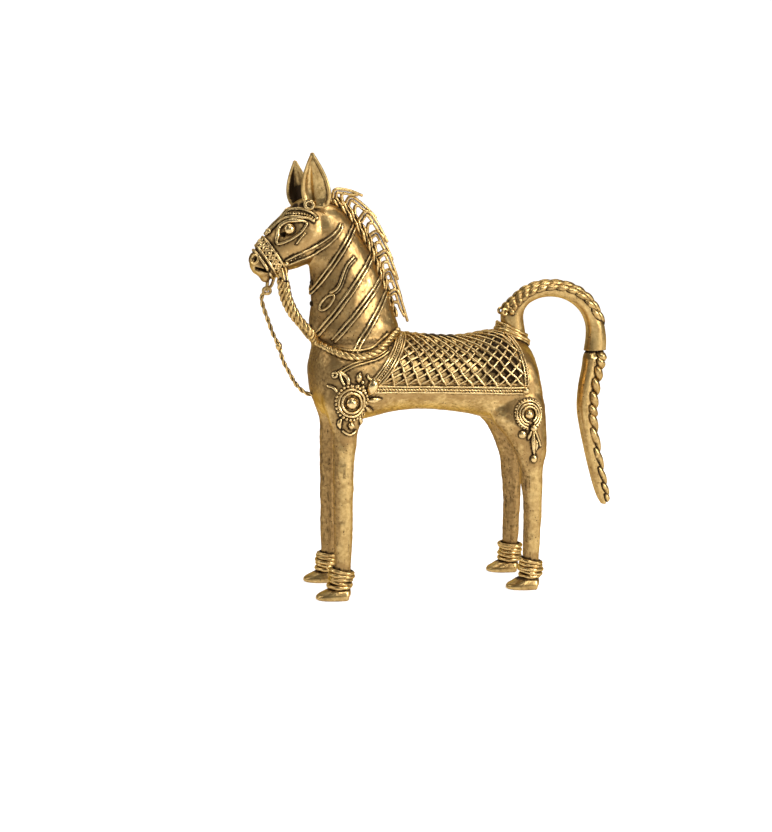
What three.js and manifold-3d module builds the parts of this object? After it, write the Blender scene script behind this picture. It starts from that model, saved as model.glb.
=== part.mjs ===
// A cast brass horse in village lost-wax style, standing square and harnessed.
// Millimetres. +Z is up, the horse looks along -X, and its left side faces -Y.

import * as THREE from "three";
import { mergeVertices } from "three/addons/utils/BufferGeometryUtils.js";
import Module from "manifold-3d";

const wasm = await Module();
wasm.setup();

// Gap left wherever one piece rests on its neighbour or passes over it
const CLEARANCE = 0.3;
// Lift of a sheet or strap that follows the trunk, just over that gap
const SEAT = 0.45;

// Trunk
const BODY_LENGTH = 112;
const BODY_WIDTH = 44;
const BACK_HEIGHT = 119;
const BELLY_HEIGHT = 86.5;

// Legs, anklets and hooves
const LEG_SPREAD = 34;
const FRONT_LEG_SETBACK = 12.9;
const HIND_LEG_SETBACK = 8;
const LEG_WIDTH = 8.4;
const ANKLE_WIDTH = 7.7;
const ANKLET_WIDTH = 13.2;
const ANKLET_HEIGHT = 9;
const ANKLET_TURNS = 3;
const HOOF_HEIGHT = 4.8;
const HOOF_WIDTH = 12.4;
const FRONT_TOE_REACH = 13.1;
const HIND_TOE_REACH = 12.6;
const HEEL_REACH = 2.4;
const FRONT_FOOT_FORWARD = 1.8;
const HIND_FOOT_FORWARD = 0.8;
const FRONT_ANKLE_FORWARD = 0.5;
const HIND_ANKLE_FORWARD = 0.6;
const ANKLE_OVER_ANKLET = 0.5;
const HOOF_TOP_HEEL = 3.2;
const HOOF_TOP_TOE = 6.4;

// Neck and head
const NECK_HEIGHT = 63;
const NECK_WIDTH = 27;
const HEAD_LENGTH = 39.3;
const HEAD_WIDTH = 19.6;
const HEAD_DROP = THREE.MathUtils.degToRad(36);
const POLL_SETBACK = 6.7;
const POLL_HEIGHT = 55;

// Ears
const LEFT_EAR_LENGTH = 25.6;
const RIGHT_EAR_LENGTH = 21.8;
const EAR_WIDTH = 14.4;
const EAR_DEPTH = 6.4;
const EAR_WALL = 1.3;
const EAR_SPREAD = 17;
const EAR_CURL = 2.3;
const EAR_STAGGER = 5;
const LEFT_EAR_TURN = THREE.MathUtils.degToRad(52);
const RIGHT_EAR_TURN = THREE.MathUtils.degToRad(-35);
const EAR_SPLAY = THREE.MathUtils.degToRad(4);
const EAR_LEAN = THREE.MathUtils.degToRad(7.5);

// Raised wires of the harness
const WIRE = 1.3;
const BAND = 3.4;
const NOSEBAND_WIDTH = 5.4;
const BAND_RELIEF = 0.8;
const WIRE_RELIEF = 1.3;
const WRAP = 3;
const WRAP_RELIEF = 1.2;
const REIN_WIDTH = 3;
const REIN_SPREAD = 17;
const LEAD_WIDTH = 1.7;
const LEAD_KNOB = 4.6;
const LEAD_BEAD = 3.2;
const CREST_WIDTH = 4.4;
const CREST_RISE = 3.3;
const CREST_ROOT = 2.5;

// Mane
const LOCK_WIDTH = 2.5;
const LOCK_STAGGER = 2.4;

// Saddle cloth
const CLOTH_OVER_BELLY = 15.4;
const CLOTH_DROP = 4.7;
const CLOTH_FRONT = 45.7;
const CLOTH_FRONT_SLANT = 16;
const CLOTH_REAR = 15;
const CLOTH_REAR_SLANT = 6.8;
const CLOTH_COLUMNS = 11;
const CLOTH_ROWS = 7;
const CLOTH_BASE = 0.5;
const NET_RELIEF = 0.6;
const SEAT_SHARE = 0.28;
const LOWER_BORDER = 3.6;
const FRONT_BORDER = 4.8;
const FRONT_BORDER_FOOT = 0.96;
const REAR_BORDER = 2.6;
const REAR_BORDER_TOP = 0.16;
const BORDER_RELIEF = 1.4;
const BORDER_SEAM = 0.5;

// Rosettes
const SHOULDER_ROSETTE = 17;
const HIP_ROSETTE = 14.8;
const ROSETTE_RELIEF = 2.4;
const BOSS = 5.4;

// Tail
const TAIL_WIDTH = 9.6;
const SWITCH_DROP = 75;
const TAIL_REACH = 47.3;
const TAIL_FOOT = 6;
const COLLAR_WIRE = 2;

// Landmarks that follow from the sizes above
const chestX = -BODY_LENGTH / 2;
const rumpX = BODY_LENGTH / 2;
const pollX = chestX + POLL_SETBACK;
const pollZ = BACK_HEIGHT + POLL_HEIGHT;
const legY = LEG_SPREAD / 2;
const ankletBase = HOOF_HEIGHT + CLEARANCE;
const SIDES = { left: -1, right: 1 };
const ACROSS = new THREE.Vector3(0, 1, 0);

// Solids

function solid(geometry) {
  const bare = geometry.clone();
  bare.deleteAttribute("normal");
  bare.deleteAttribute("uv");
  const merged = mergeVertices(bare, 1e-4);
  const mesh = new wasm.Mesh({
    numProp: 3,
    vertProperties: new Float32Array(merged.attributes.position.array),
    triVerts: new Uint32Array(merged.index.array),
  });
  return new wasm.Manifold(mesh);
}

function surface(shape) {
  const { numProp, vertProperties, triVerts } = shape.getMesh();
  const count = vertProperties.length / numProp;
  const positions = new Float32Array(count * 3);
  for (let i = 0; i < count; i++) {
    positions.set(vertProperties.subarray(i * numProp, i * numProp + 3), i * 3);
  }
  const geometry = new THREE.BufferGeometry();
  geometry.setAttribute("position", new THREE.BufferAttribute(positions, 3));
  geometry.setIndex(new THREE.BufferAttribute(new Uint32Array(triVerts), 1));
  geometry.computeVertexNormals();
  return geometry;
}

// The same solid with its skin moved outwards, as room for what lies on it.
function swollen(shape, distance) {
  const geometry = surface(shape);
  const { position, normal } = geometry.attributes;
  for (let i = 0; i < position.count; i++) {
    position.setXYZ(
      i,
      position.getX(i) + normal.getX(i) * distance,
      position.getY(i) + normal.getY(i) * distance,
      position.getZ(i) + normal.getZ(i) * distance,
    );
  }
  return solid(geometry);
}

// A closed skin through rings with one point count, fanned shut at both ends or joined end to end.
function skin(rings, joined = false) {
  const sides = rings[0].length;
  const points = rings.flat();
  const index = [];
  const spans = joined ? rings.length : rings.length - 1;
  for (let r = 0; r < spans; r++) {
    const next = (r + 1) % rings.length;
    for (let i = 0; i < sides; i++) {
      const j = (i + 1) % sides;
      index.push(r * sides + i, next * sides + i, next * sides + j);
      index.push(r * sides + i, next * sides + j, r * sides + j);
    }
  }
  if (!joined) {
    const last = (rings.length - 1) * sides;
    const start = points.length;
    points.push(middle(rings[0]), middle(rings.at(-1)));
    for (let i = 0; i < sides; i++) {
      const j = (i + 1) % sides;
      index.push(start, i, j);
      index.push(start + 1, last + j, last + i);
    }
  }
  const geometry = new THREE.BufferGeometry().setFromPoints(points);
  geometry.setIndex(index);
  const shape = solid(geometry);
  if (shape.volume() > 0) {
    return shape;
  }
  geometry.setIndex(index.reverse());
  return solid(geometry);
}

function middle(ring) {
  const sum = new THREE.Vector3();
  ring.forEach((p) => sum.add(p));
  return sum.divideScalar(ring.length);
}

// A body whose ribs run from an upper edge point to a lower one, with a half width and a side offset.
function loft(ribs, sides) {
  const rings = ribs.map(({ upper, lower, half, y = 0 }) => {
    const centre = new THREE.Vector3((upper[0] + lower[0]) / 2, y, (upper[1] + lower[1]) / 2);
    const reach = new THREE.Vector3(upper[0], y, upper[1]).sub(centre);
    return angles(sides).map((angle) =>
      centre
        .clone()
        .addScaledVector(reach, Math.cos(angle))
        .addScaledVector(ACROSS, half * Math.sin(angle)),
    );
  });
  return skin(rings);
}

function angles(count) {
  return Array.from({ length: count }, (_, i) => (i / count) * 2 * Math.PI);
}

function curveThrough(points, closed = false) {
  return new THREE.CatmullRomCurve3(points, closed);
}

// A round wire along a curve, with a radius for each share of its length.
function wire(curve, radiusAt, sides, steps) {
  const frames = curve.computeFrenetFrames(steps, curve.closed);
  const count = curve.closed ? steps : steps + 1;
  const rings = [];
  for (let s = 0; s < count; s++) {
    const centre = curve.getPointAt(s / steps);
    const radius = radiusAt(s / steps);
    rings.push(
      angles(sides).map((angle) =>
        centre
          .clone()
          .addScaledVector(frames.normals[s], radius * Math.cos(angle))
          .addScaledVector(frames.binormals[s], radius * Math.sin(angle)),
      ),
    );
  }
  return skin(rings, curve.closed);
}

// A strap laid over a surface: an outline of [across, above] points carried along {point, normal} stops.
function strap(stops, outline) {
  const rings = stops.map(({ point, normal }, i) => {
    const before = stops[Math.max(i - 1, 0)].point;
    const after = stops[Math.min(i + 1, stops.length - 1)].point;
    const across = after.clone().sub(before).cross(normal).normalize();
    return outline.map(([side, above]) =>
      point.clone().addScaledVector(across, side).addScaledVector(normal, above),
    );
  });
  return skin(rings);
}

// A strap's outline: a flat sole, a face at one height, and a ridge on it at each share of the half width.
function ridgedOutline(width, sole, face, ridge, places, extra) {
  const half = width / 2 + extra;
  if (extra > 0) {
    return [[-half, -sole - extra], [-half, ridge + extra], [half, ridge + extra], [half, -sole - extra]];
  }
  const foot = WIRE / 2;
  const ridges = places.flatMap((share) => {
    const centre = share * (width / 2 - foot);
    return [[centre - foot, face], [centre, ridge], [centre + foot, face]];
  });
  return [[-half, -sole], ...ridges, [half, -sole]];
}

function ball(centre, radius, stretch = [1, 1, 1]) {
  const geometry = new THREE.SphereGeometry(radius, 8, 6);
  geometry.scale(...stretch);
  geometry.translate(centre.x, centre.y, centre.z);
  return solid(geometry);
}

function union(shapes) {
  return shapes.reduce((whole, shape) => whole.add(shape));
}

function mirrored(shape) {
  const geometry = surface(shape);
  geometry.scale(1, -1, 1);
  geometry.setIndex(Array.from(geometry.index.array).reverse());
  return solid(geometry);
}

function onSide(shape, side) {
  return side === SIDES.left ? shape : mirrored(shape);
}

// A flat slab of the given thickness whose middle plane holds two points of the mid-plane and the Y axis.
function slab(from, to, thickness) {
  const along = new THREE.Vector2(to[0] - from[0], to[1] - from[1]);
  const length = along.length() * 3;
  const geometry = new THREE.BoxGeometry(length, BODY_WIDTH * 3, thickness);
  geometry.rotateY(-along.angle());
  geometry.translate((from[0] + to[0]) / 2, 0, (from[1] + to[1]) / 2);
  return solid(geometry);
}

// Trunk: [share of length, rise over the back, rise over the belly, share of width]
const BODY_RIBS = [
  [0, -11, 15, 0.12],
  [0.018, -3, 5.5, 0.5],
  [0.055, 2, -2, 0.8],
  [0.13, 4.6, -6, 0.96],
  [0.24, 4.6, -4.5, 1],
  [0.36, 2.8, -1.7, 0.98],
  [0.5, 0.6, -1.5, 0.95],
  [0.65, -0.3, -3.6, 0.96],
  [0.78, 1.7, -7, 1],
  [0.84, 0.9, -8, 0.99],
  [0.88, -0.9, -8.6, 0.96],
  [0.92, -3, -8.8, 0.9],
  [0.95, -7.2, -8.2, 0.8],
  [0.975, -15.5, -6.8, 0.62],
  [1, -29, -1.5, 0.26],
];

function bodyRings() {
  return BODY_RIBS.map(([share, over, under, wide]) => ({
    x: chestX + share * BODY_LENGTH,
    upper: BACK_HEIGHT + over,
    lower: BELLY_HEIGHT + under,
    half: (wide * BODY_WIDTH) / 2,
  }));
}

function body() {
  const ribs = bodyRings().map(({ x, upper, lower, half }) => ({
    upper: [x, upper],
    lower: [x, lower],
    half,
  }));
  return loft(ribs, 24);
}

// The trunk's upright section at x: its middle height, half height and half width.
function trunkSection(x) {
  const rings = bodyRings();
  const after = Math.max(1, rings.findIndex((ring) => ring.x >= x));
  const [a, b] = [rings[after - 1], rings[after]];
  const mix = (x - a.x) / (b.x - a.x);
  const upper = THREE.MathUtils.lerp(a.upper, b.upper, mix);
  const lower = THREE.MathUtils.lerp(a.lower, b.lower, mix);
  const wide = THREE.MathUtils.lerp(a.half, b.half, mix);
  return { middleZ: (upper + lower) / 2, high: (upper - lower) / 2, wide };
}

// A point over the trunk: x along it, an angle from the top of the back, and a lift off its skin.
function overBody(x, angle, lift) {
  const { middleZ, high, wide } = trunkSection(x);
  const normal = new THREE.Vector3(0, Math.sin(angle) * high, Math.cos(angle) * wide).normalize();
  const point = new THREE.Vector3(x, wide * Math.sin(angle), middleZ + high * Math.cos(angle));
  return { point: point.addScaledVector(normal, lift), normal };
}

// Neck: [share of height, front and back edge behind the chest, back edge over front edge, share of width]
const NECK_RIBS = [
  [-0.17, 5, 40, 8, 0.9],
  [0, 0.8, 42.8, 5, 1],
  [0.16, 1, 40.2, 2.5, 0.94],
  [0.3, 1.1, 37.2, 0.5, 0.86],
  [0.43, 1, 33.7, 2, 0.78],
  [0.55, 0.4, 29.7, 3.5, 0.73],
  [0.65, -0.8, 24.7, 6.5, 0.7],
  [0.78, -1.8, 19.2, 6.8, 0.66],
  [0.9, -2.8, 13.7, 4.5, 0.56],
  [1, -0.3, 8.7, 0, 0.3],
];

function neck() {
  const ribs = NECK_RIBS.map(([share, front, back, lean, wide]) => {
    const z = BACK_HEIGHT + share * NECK_HEIGHT;
    return {
      upper: [chestX + front, z],
      lower: [chestX + back, z + lean],
      half: (wide * NECK_WIDTH) / 2,
    };
  });
  return loft(ribs, 16);
}

// A place on the head: share of its length from the poll, and distance over its axis.
function onHead(share, over) {
  const along = share * HEAD_LENGTH;
  return [
    pollX - Math.cos(HEAD_DROP) * along - Math.sin(HEAD_DROP) * over,
    pollZ - Math.sin(HEAD_DROP) * along + Math.cos(HEAD_DROP) * over,
  ];
}

// Head: [share and height of the upper edge, share and height of the lower edge, share of width]
const HEAD_RIBS = [
  [-0.13, 9, -0.08, 0, 0.3],
  [-0.04, 12.6, 0.1, -10, 0.82],
  [0.15, 14, 0.32, -13, 0.97],
  [0.37, 12.2, 0.5, -11.4, 1],
  [0.55, 11, 0.65, -9.6, 0.9],
  [0.71, 9.2, 0.78, -8.2, 0.78],
  [0.83, 7.9, 0.87, -7.2, 0.7],
  [0.93, 6, 0.93, -6.5, 0.62],
  [0.985, 3.6, 0.97, -4.4, 0.48],
  [1, 1.1, 0.985, -2, 0.24],
];

function head() {
  const ribs = HEAD_RIBS.map(([topShare, over, lowShare, under, wide]) => ({
    upper: onHead(topShare, over),
    lower: onHead(lowShare, under),
    half: (wide * HEAD_WIDTH) / 2,
  }));
  return loft(ribs, 16);
}

const LIP_PLACE = [0.93, -5.6];
const LIP_WIDTH = 8;
const LIP_DEPTH = 4.4;
const LIP_LENGTH = 4.8;

function lowerLip() {
  const [x, z] = onHead(...LIP_PLACE);
  const stretch = [LIP_LENGTH / LIP_DEPTH, LIP_WIDTH / LIP_DEPTH, 1];
  return ball(new THREE.Vector3(x, 0, z), LIP_DEPTH / 2, stretch);
}

// Leg: [share of the belly's height, forward of its axis, more half length, more half width, inward]
const HIND_LEG_RIBS = [
  [0.428, 0, 0.2, 0.2, 0],
  [0.647, 0.8, 1.2, 0.8, 0],
  [0.751, 1.3, 3.3, 2, 0.6],
  [0.85, 3.4, 5.9, 3.6, 1.8],
  [0.913, 5.7, 8.4, 4.8, 3],
  [0.983, 6.8, 9.4, 5.2, 4],
  [1.064, 6.4, 7.4, 4.8, 5],
  [1.156, 6, 2, 3, 6.4],
];
const FRONT_LEG_RIBS = [
  [0.428, 0, 0.4, 0.4, 0],
  [0.694, -0.1, 0.6, 0.6, 0],
  [0.832, -0.7, 1.3, 0.9, 0.2],
  [0.913, -1.3, 2.1, 1.6, 0.6],
  [0.983, -1.5, 4.3, 2.9, 2],
  [1.064, -1.8, 6.6, 4.4, 3.6],
  [1.145, -2, 6, 4.4, 5],
  [1.225, -2.5, 2.4, 2, 6.8],
];

function leg(ribs, x, footForward, ankleForward) {
  const rows = ribs.map(([share, forward, long, wide, inward]) => ({
    z: share * BELLY_HEIGHT,
    forward,
    long: LEG_WIDTH / 2 + long,
    wide: LEG_WIDTH / 2 + wide,
    inward,
  }));
  const half = ANKLE_WIDTH / 2;
  const ankleTop = ankletBase + ANKLET_HEIGHT + ANKLE_OVER_ANKLET;
  rows.unshift(
    { z: ankletBase, forward: footForward, long: half, wide: half, inward: 0 },
    { z: ankleTop, forward: ankleForward, long: half, wide: half, inward: 0 },
  );
  const rings = rows.map(({ z, forward, long, wide, inward }) =>
    angles(12).map(
      (angle) =>
        new THREE.Vector3(
          x - forward + long * Math.cos(angle),
          -legY + inward + wide * Math.sin(angle),
          z,
        ),
    ),
  );
  return skin(rings);
}

const frontLegX = chestX + FRONT_LEG_SETBACK;
const hindLegX = rumpX - HIND_LEG_SETBACK;
const frontLeg = leg(FRONT_LEG_RIBS, frontLegX, FRONT_FOOT_FORWARD, FRONT_ANKLE_FORWARD);
const hindLeg = leg(HIND_LEG_RIBS, hindLegX, HIND_FOOT_FORWARD, HIND_ANKLE_FORWARD);

// The figure under its harness, with its skin moved out by a distance.
const bare = [body(), neck(), head(), frontLeg, mirrored(frontLeg), hindLeg, mirrored(hindLeg)];
const figureRoom = new Map();

function figureAt(distance) {
  if (!figureRoom.has(distance)) {
    figureRoom.set(distance, union(bare.map((shape) => swollen(shape, distance))));
  }
  return figureRoom.get(distance);
}

const target = new THREE.Mesh(surface(union(bare)));
target.updateMatrixWorld();

// The figure's skin where a line across it at x, z meets its left side.
function leftSkin([x, z], lift = 0) {
  const ray = new THREE.Raycaster(new THREE.Vector3(x, -BODY_WIDTH * 2, z), ACROSS);
  const hit = ray.intersectObject(target)[0];
  const normal = (hit.normal ?? hit.face.normal).clone().normalize();
  return { point: hit.point.clone().addScaledVector(normal, lift), normal };
}

// Stops along the left side for a path given in the mid-plane.
function leftStops(path, steps, lift = 0) {
  const curve = curveThrough(path.map(([x, z]) => new THREE.Vector3(x, 0, z)));
  return Array.from({ length: steps + 1 }, (_, i) => {
    const { x, z } = curve.getPointAt(i / steps);
    return leftSkin([x, z], lift);
  });
}

// A raised ring round the figure, cut from its swollen skin by a slab that holds two mid-plane points.
function girdle(from, to, width, relief, extra) {
  const jacket = figureAt(relief + extra).subtract(figureAt(CLEARANCE));
  return jacket.intersect(slab(from, to, width + 2 * extra));
}

// Pieces of the harness, each made with some extra all round when it is room for a neighbour

const chestward = (back, up) => [chestX + back, BACK_HEIGHT + up];

// Neck wraps: [crest end, chest end], each as distance behind the chest and over the back
const NECK_WRAPS = [
  [[21, 52], [2.2, 23.5]],
  [[27.2, 35.6], [5, 5.5]],
  [[30.8, 25], [13.8, 5.2]],
  [[33.4, 17.8], [20.6, -1.4]],
];

// The line of the reins round the neck, under which no wrap shows
const REIN_LINE = [[-4, 6], [44, -4]];

function neckWrap(place, extra) {
  const [crest, front] = place;
  const collarLine = REIN_LINE.map((spot) => chestward(...spot));
  const below = slab(...collarLine, BACK_HEIGHT).translate([0, 0, -BACK_HEIGHT / 2]);
  return girdle(chestward(...crest), chestward(...front), WRAP, WRAP_RELIEF, extra).subtract(below);
}

const NECK_LEAF_TIP = [18.8, 38.4];
const NECK_LEAF_FOOT = [3.4, 15];
const NECK_LEAF_WIDTH = 4.6;

function neckLeaf(extra) {
  const tip = chestward(...NECK_LEAF_TIP);
  const foot = chestward(...NECK_LEAF_FOOT);
  const spine = new THREE.Vector2(foot[0] - tip[0], foot[1] - tip[1]);
  const count = 7;
  const loop = angles(count).map((angle) => {
    const along = (1 - Math.cos(angle)) / 2;
    const aside = ((NECK_LEAF_WIDTH / 2) * Math.sin(angle)) / spine.length();
    return leftSkin(
      [tip[0] + spine.x * along - spine.y * aside, tip[1] + spine.y * along + spine.x * aside],
      CLEARANCE,
    ).point;
  });
  return wire(curveThrough(loop, true), () => WIRE / 2 + extra, 4, count * 2);
}

function noseband(extra) {
  return girdle(onHead(0.725, 10.4), onHead(0.745, -8), NOSEBAND_WIDTH, WIRE_RELIEF, extra);
}

function muzzleWire(extra) {
  return girdle(onHead(0.84, 8.6), onHead(0.865, -7), WIRE, WIRE_RELIEF, extra);
}

const CHEEK_PATH = [
  [0.6, -5],
  [0.5, -5.9],
  [0.36, -7.4],
  [0.22, -8],
  [0.07, -7.9],
  [-0.06, -6.9],
];

function cheekStrap(extra) {
  const stops = leftStops(CHEEK_PATH.map((spot) => onHead(...spot)), 10);
  return strap(stops, ridgedOutline(BAND, BAND_RELIEF, BAND_RELIEF, WIRE_RELIEF + 0.2, [-1, 1], extra));
}

const EYE_RIM = [
  [0.58, 5.2],
  [0.5, 8],
  [0.4, 9.4],
  [0.28, 8.2],
  [0.2, 4.9],
  [0.29, 2.8],
  [0.46, 2.9],
];
const EYE_CENTRE = [0.385, 6.6];
const EYE_BALL = 4.4;

function eyeRim(extra) {
  const loop = EYE_RIM.map((spot) => leftSkin(onHead(...spot), CLEARANCE).point);
  return wire(curveThrough(loop, true), () => WIRE / 2 + extra, 4, 12);
}

function eyeBall(extra) {
  const { point, normal } = leftSkin(onHead(...EYE_CENTRE));
  return ball(point.addScaledVector(normal, CLEARANCE), EYE_BALL / 2 + extra, [1, 0.8, 1]);
}

const BROW_PATH = [
  [0.59, 10.2],
  [0.45, 11.6],
  [0.3, 12.2],
  [0.18, 9.8],
  [0.09, 5.4],
  [0.07, 2.8],
];

function brow(extra) {
  const stops = leftStops(BROW_PATH.map((spot) => onHead(...spot)), 8);
  return strap(stops, ridgedOutline(BAND, BAND_RELIEF, BAND_RELIEF, WIRE_RELIEF + 0.2, [-1, 1], extra));
}

// An ear: a pointed leaf hollowed from its open side, with the little curl at its foot.
const EAR_RIBS = [0, 0.12, 0.3, 0.5, 0.72, 0.9, 1];
const EAR_TIP = 0.35;

function earSwell(share) {
  return Math.sin(Math.PI * (0.12 + 0.88 * share ** 0.72)) ** 0.9;
}

function earLeaf(length) {
  const ribs = EAR_RIBS.map((share) => {
    const half = Math.max((EAR_WIDTH / 2) * earSwell(share), EAR_TIP);
    const deep = Math.max((EAR_DEPTH / 2) * earSwell(share), EAR_TIP);
    return { upper: [-deep, length * share], lower: [deep, length * share], half };
  });
  return loft(ribs, 12);
}

// The room inside an ear: it opens at the front face and stops one wall short of the back.
function earHollow(length) {
  const ribs = EAR_RIBS.map((share) => {
    const front = (-EAR_DEPTH / 2) * earSwell(share);
    const deep = Math.max(EAR_DEPTH * earSwell(share) - EAR_WALL, EAR_TIP);
    const half = Math.max((EAR_WIDTH / 2) * earSwell(share) - EAR_WALL, EAR_TIP);
    const z = EAR_WALL + (length - 3 * EAR_WALL) * share;
    return { upper: [front - deep, z], lower: [front + deep, z], half };
  });
  return loft(ribs, 10);
}

function ear(side, extra) {
  const right = side === SIDES.right;
  const length = right ? RIGHT_EAR_LENGTH : LEFT_EAR_LENGTH;
  const whole = earLeaf(length);
  const leaf = surface(extra > 0 ? swollen(whole, extra) : whole.subtract(earHollow(length)));
  leaf.rotateZ(right ? RIGHT_EAR_TURN : LEFT_EAR_TURN);
  leaf.rotateX(EAR_SPLAY);
  leaf.rotateY(-EAR_LEAN);
  const [x, z] = onHead(-0.03, 6.2);
  leaf.translate(x - (right ? EAR_STAGGER : 0), -EAR_SPREAD / 2, z);
  return onSide(solid(leaf), side);
}

function earCurl(extra) {
  const { point } = leftSkin(onHead(0.08, 9.4), CLEARANCE + 0.4);
  const ring = new THREE.TorusGeometry(EAR_CURL, WIRE / 2 + extra, 5, 10);
  ring.rotateX(Math.PI / 2);
  ring.translate(point.x, point.y, point.z);
  return solid(ring);
}

// Points at one distance to the right of the middle, from [behind the chest, over the back]
function midway(spots, y) {
  return spots.map((spot) => chestward(...spot)).map(([x, z]) => new THREE.Vector3(x, y, z));
}

// The crest line on the back edge of the neck
const CREST_LINE = [
  [12.1, 63.8],
  [17.7, 58.8],
  [22.3, 52.8],
  [27, 46],
  [30.9, 37.5],
  [33.8, 28.8],
  [36.6, 19],
  [39.8, 9.6],
];

function crestBand(extra) {
  const half = CREST_WIDTH / 2 + extra;
  const rise = CREST_RISE + extra;
  const outline = [
    [-half, -CREST_ROOT],
    [-half, rise * 0.55],
    [-half * 0.5, rise],
    [0, rise * (extra > 0 ? 1 : 0.8)],
    [half * 0.5, rise],
    [half, rise * 0.55],
    [half, -CREST_ROOT],
  ];
  const line = curveThrough(midway(CREST_LINE, 0));
  const steps = 18;
  const stops = Array.from({ length: steps + 1 }, (_, i) => {
    const tangent = line.getTangentAt(i / steps);
    return { point: line.getPointAt(i / steps), normal: new THREE.Vector3(-tangent.z, 0, tangent.x) };
  });
  return strap(stops, outline);
}

// Mane lock: its root on the crest band, its shoulder, its bend and its tip,
// as [behind the chest, over the back]
const MANE_LOCKS = [
  [[12.2, 65], [13.2, 68.4], [19.5, 67.8], [25.2, 65.6]],
  [[18.2, 61], [20.6, 65], [26.2, 61.2], [32, 55.6]],
  [[24.2, 54.6], [27.6, 58.4], [32, 53.4], [36.8, 44.6]],
  [[29.2, 47], [33, 49], [36.6, 42.8], [39.7, 36.2]],
  [[32.8, 38.5], [36.6, 40], [39.4, 34], [41.8, 27.3]],
  [[35.6, 29.8], [39.2, 31.2], [41.6, 25.4], [43.9, 18.4]],
  [[38.2, 20.8], [41.6, 22], [44, 15.6], [46.4, 7.8]],
];

// Every other lock stands on the left side of the band and the rest on its right side.
function maneLock(number, extra) {
  const y = number % 2 === 0 ? -LOCK_STAGGER / 2 : LOCK_STAGGER / 2;
  const path = midway(MANE_LOCKS[number], y);
  const radiusAt = (share) => (LOCK_WIDTH / 2) * (1 - 0.35 * share) + extra;
  return wire(curveThrough(path), radiusAt, 6, 8);
}

// Reins: free from the noseband down to the chest, then laid round the foot of the neck to the withers
const REIN_FREE = [
  [-12.3, 34, 0.86],
  [-11.3, 27.4, 1],
  [-10.4, 21.2, 1.12],
  [-8.4, 15.8, 1.25],
  [-5.4, 10.6, 1.38],
  [-1, 5.4, 1.5],
];
const REIN_LAID = [
  [3, 1],
  [6.8, -1.8],
  [12, -4.8],
  [17.6, -6.4],
  [23.8, -6.4],
  [30.8, -4.6],
  [36.4, -1],
  [41, 3.4],
];

function rein(extra) {
  const free = REIN_FREE.map(
    ([back, up, wide]) => new THREE.Vector3(chestX + back, (-wide * REIN_SPREAD) / 2, BACK_HEIGHT + up),
  );
  const laid = REIN_LAID.map((spot) => leftSkin(chestward(...spot), REIN_WIDTH / 4 + CLEARANCE).point);
  return wire(curveThrough([...free, ...laid]), () => REIN_WIDTH / 2 + extra, 5, 20);
}

// Lead: a thin cast cord from the knob under the chin down to the chest
const LEAD_LINE = [
  [-20.4, 22.4],
  [-21.4, 19.4],
  [-20.2, 14.6],
  [-18.4, 9.4],
  [-16.4, 3.6],
  [-13.6, -2.4],
  [-11.8, -9],
  [-9, -14.6],
  [-5.6, -20.6],
  [-1.6, -24.4],
  [3.6, -26],
];

function lead(extra) {
  const points = midway(LEAD_LINE, 0);
  const cord = wire(curveThrough(points), () => LEAD_WIDTH / 2 + extra, 5, 18);
  const [x, z] = onHead(...LIP_PLACE);
  const knobZ = z - LIP_DEPTH / 2 - CLEARANCE - LEAD_KNOB / 2;
  const knob = ball(new THREE.Vector3(x, 0, knobZ), LEAD_KNOB / 2 + extra);
  const bead = ball(points[5], LEAD_BEAD / 2 + extra);
  return union([cord, knob, bead]);
}

// Saddle cloth: a thin sheet over the back whose raised net crosses it in diamonds, plain at the seat

// The height of the cloth's lower edge, which runs down towards the rump.
function clothLevel(x) {
  return BELLY_HEIGHT + CLOTH_OVER_BELLY - (CLOTH_DROP * (x - chestX)) / BODY_LENGTH;
}

// The angle round the trunk at which its side comes down to a level.
function angleAtLevel(x, level) {
  const { high, middleZ } = trunkSection(x);
  return Math.acos((level - middleZ) / high);
}

// The cloth's front and rear edge for a share of the way down its side.
function clothFront(share) {
  return chestX + CLOTH_FRONT - CLOTH_FRONT_SLANT * share ** 2;
}

function clothRear(share) {
  return rumpX - CLOTH_REAR - CLOTH_REAR_SLANT * (1 - share) ** 2;
}

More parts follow.
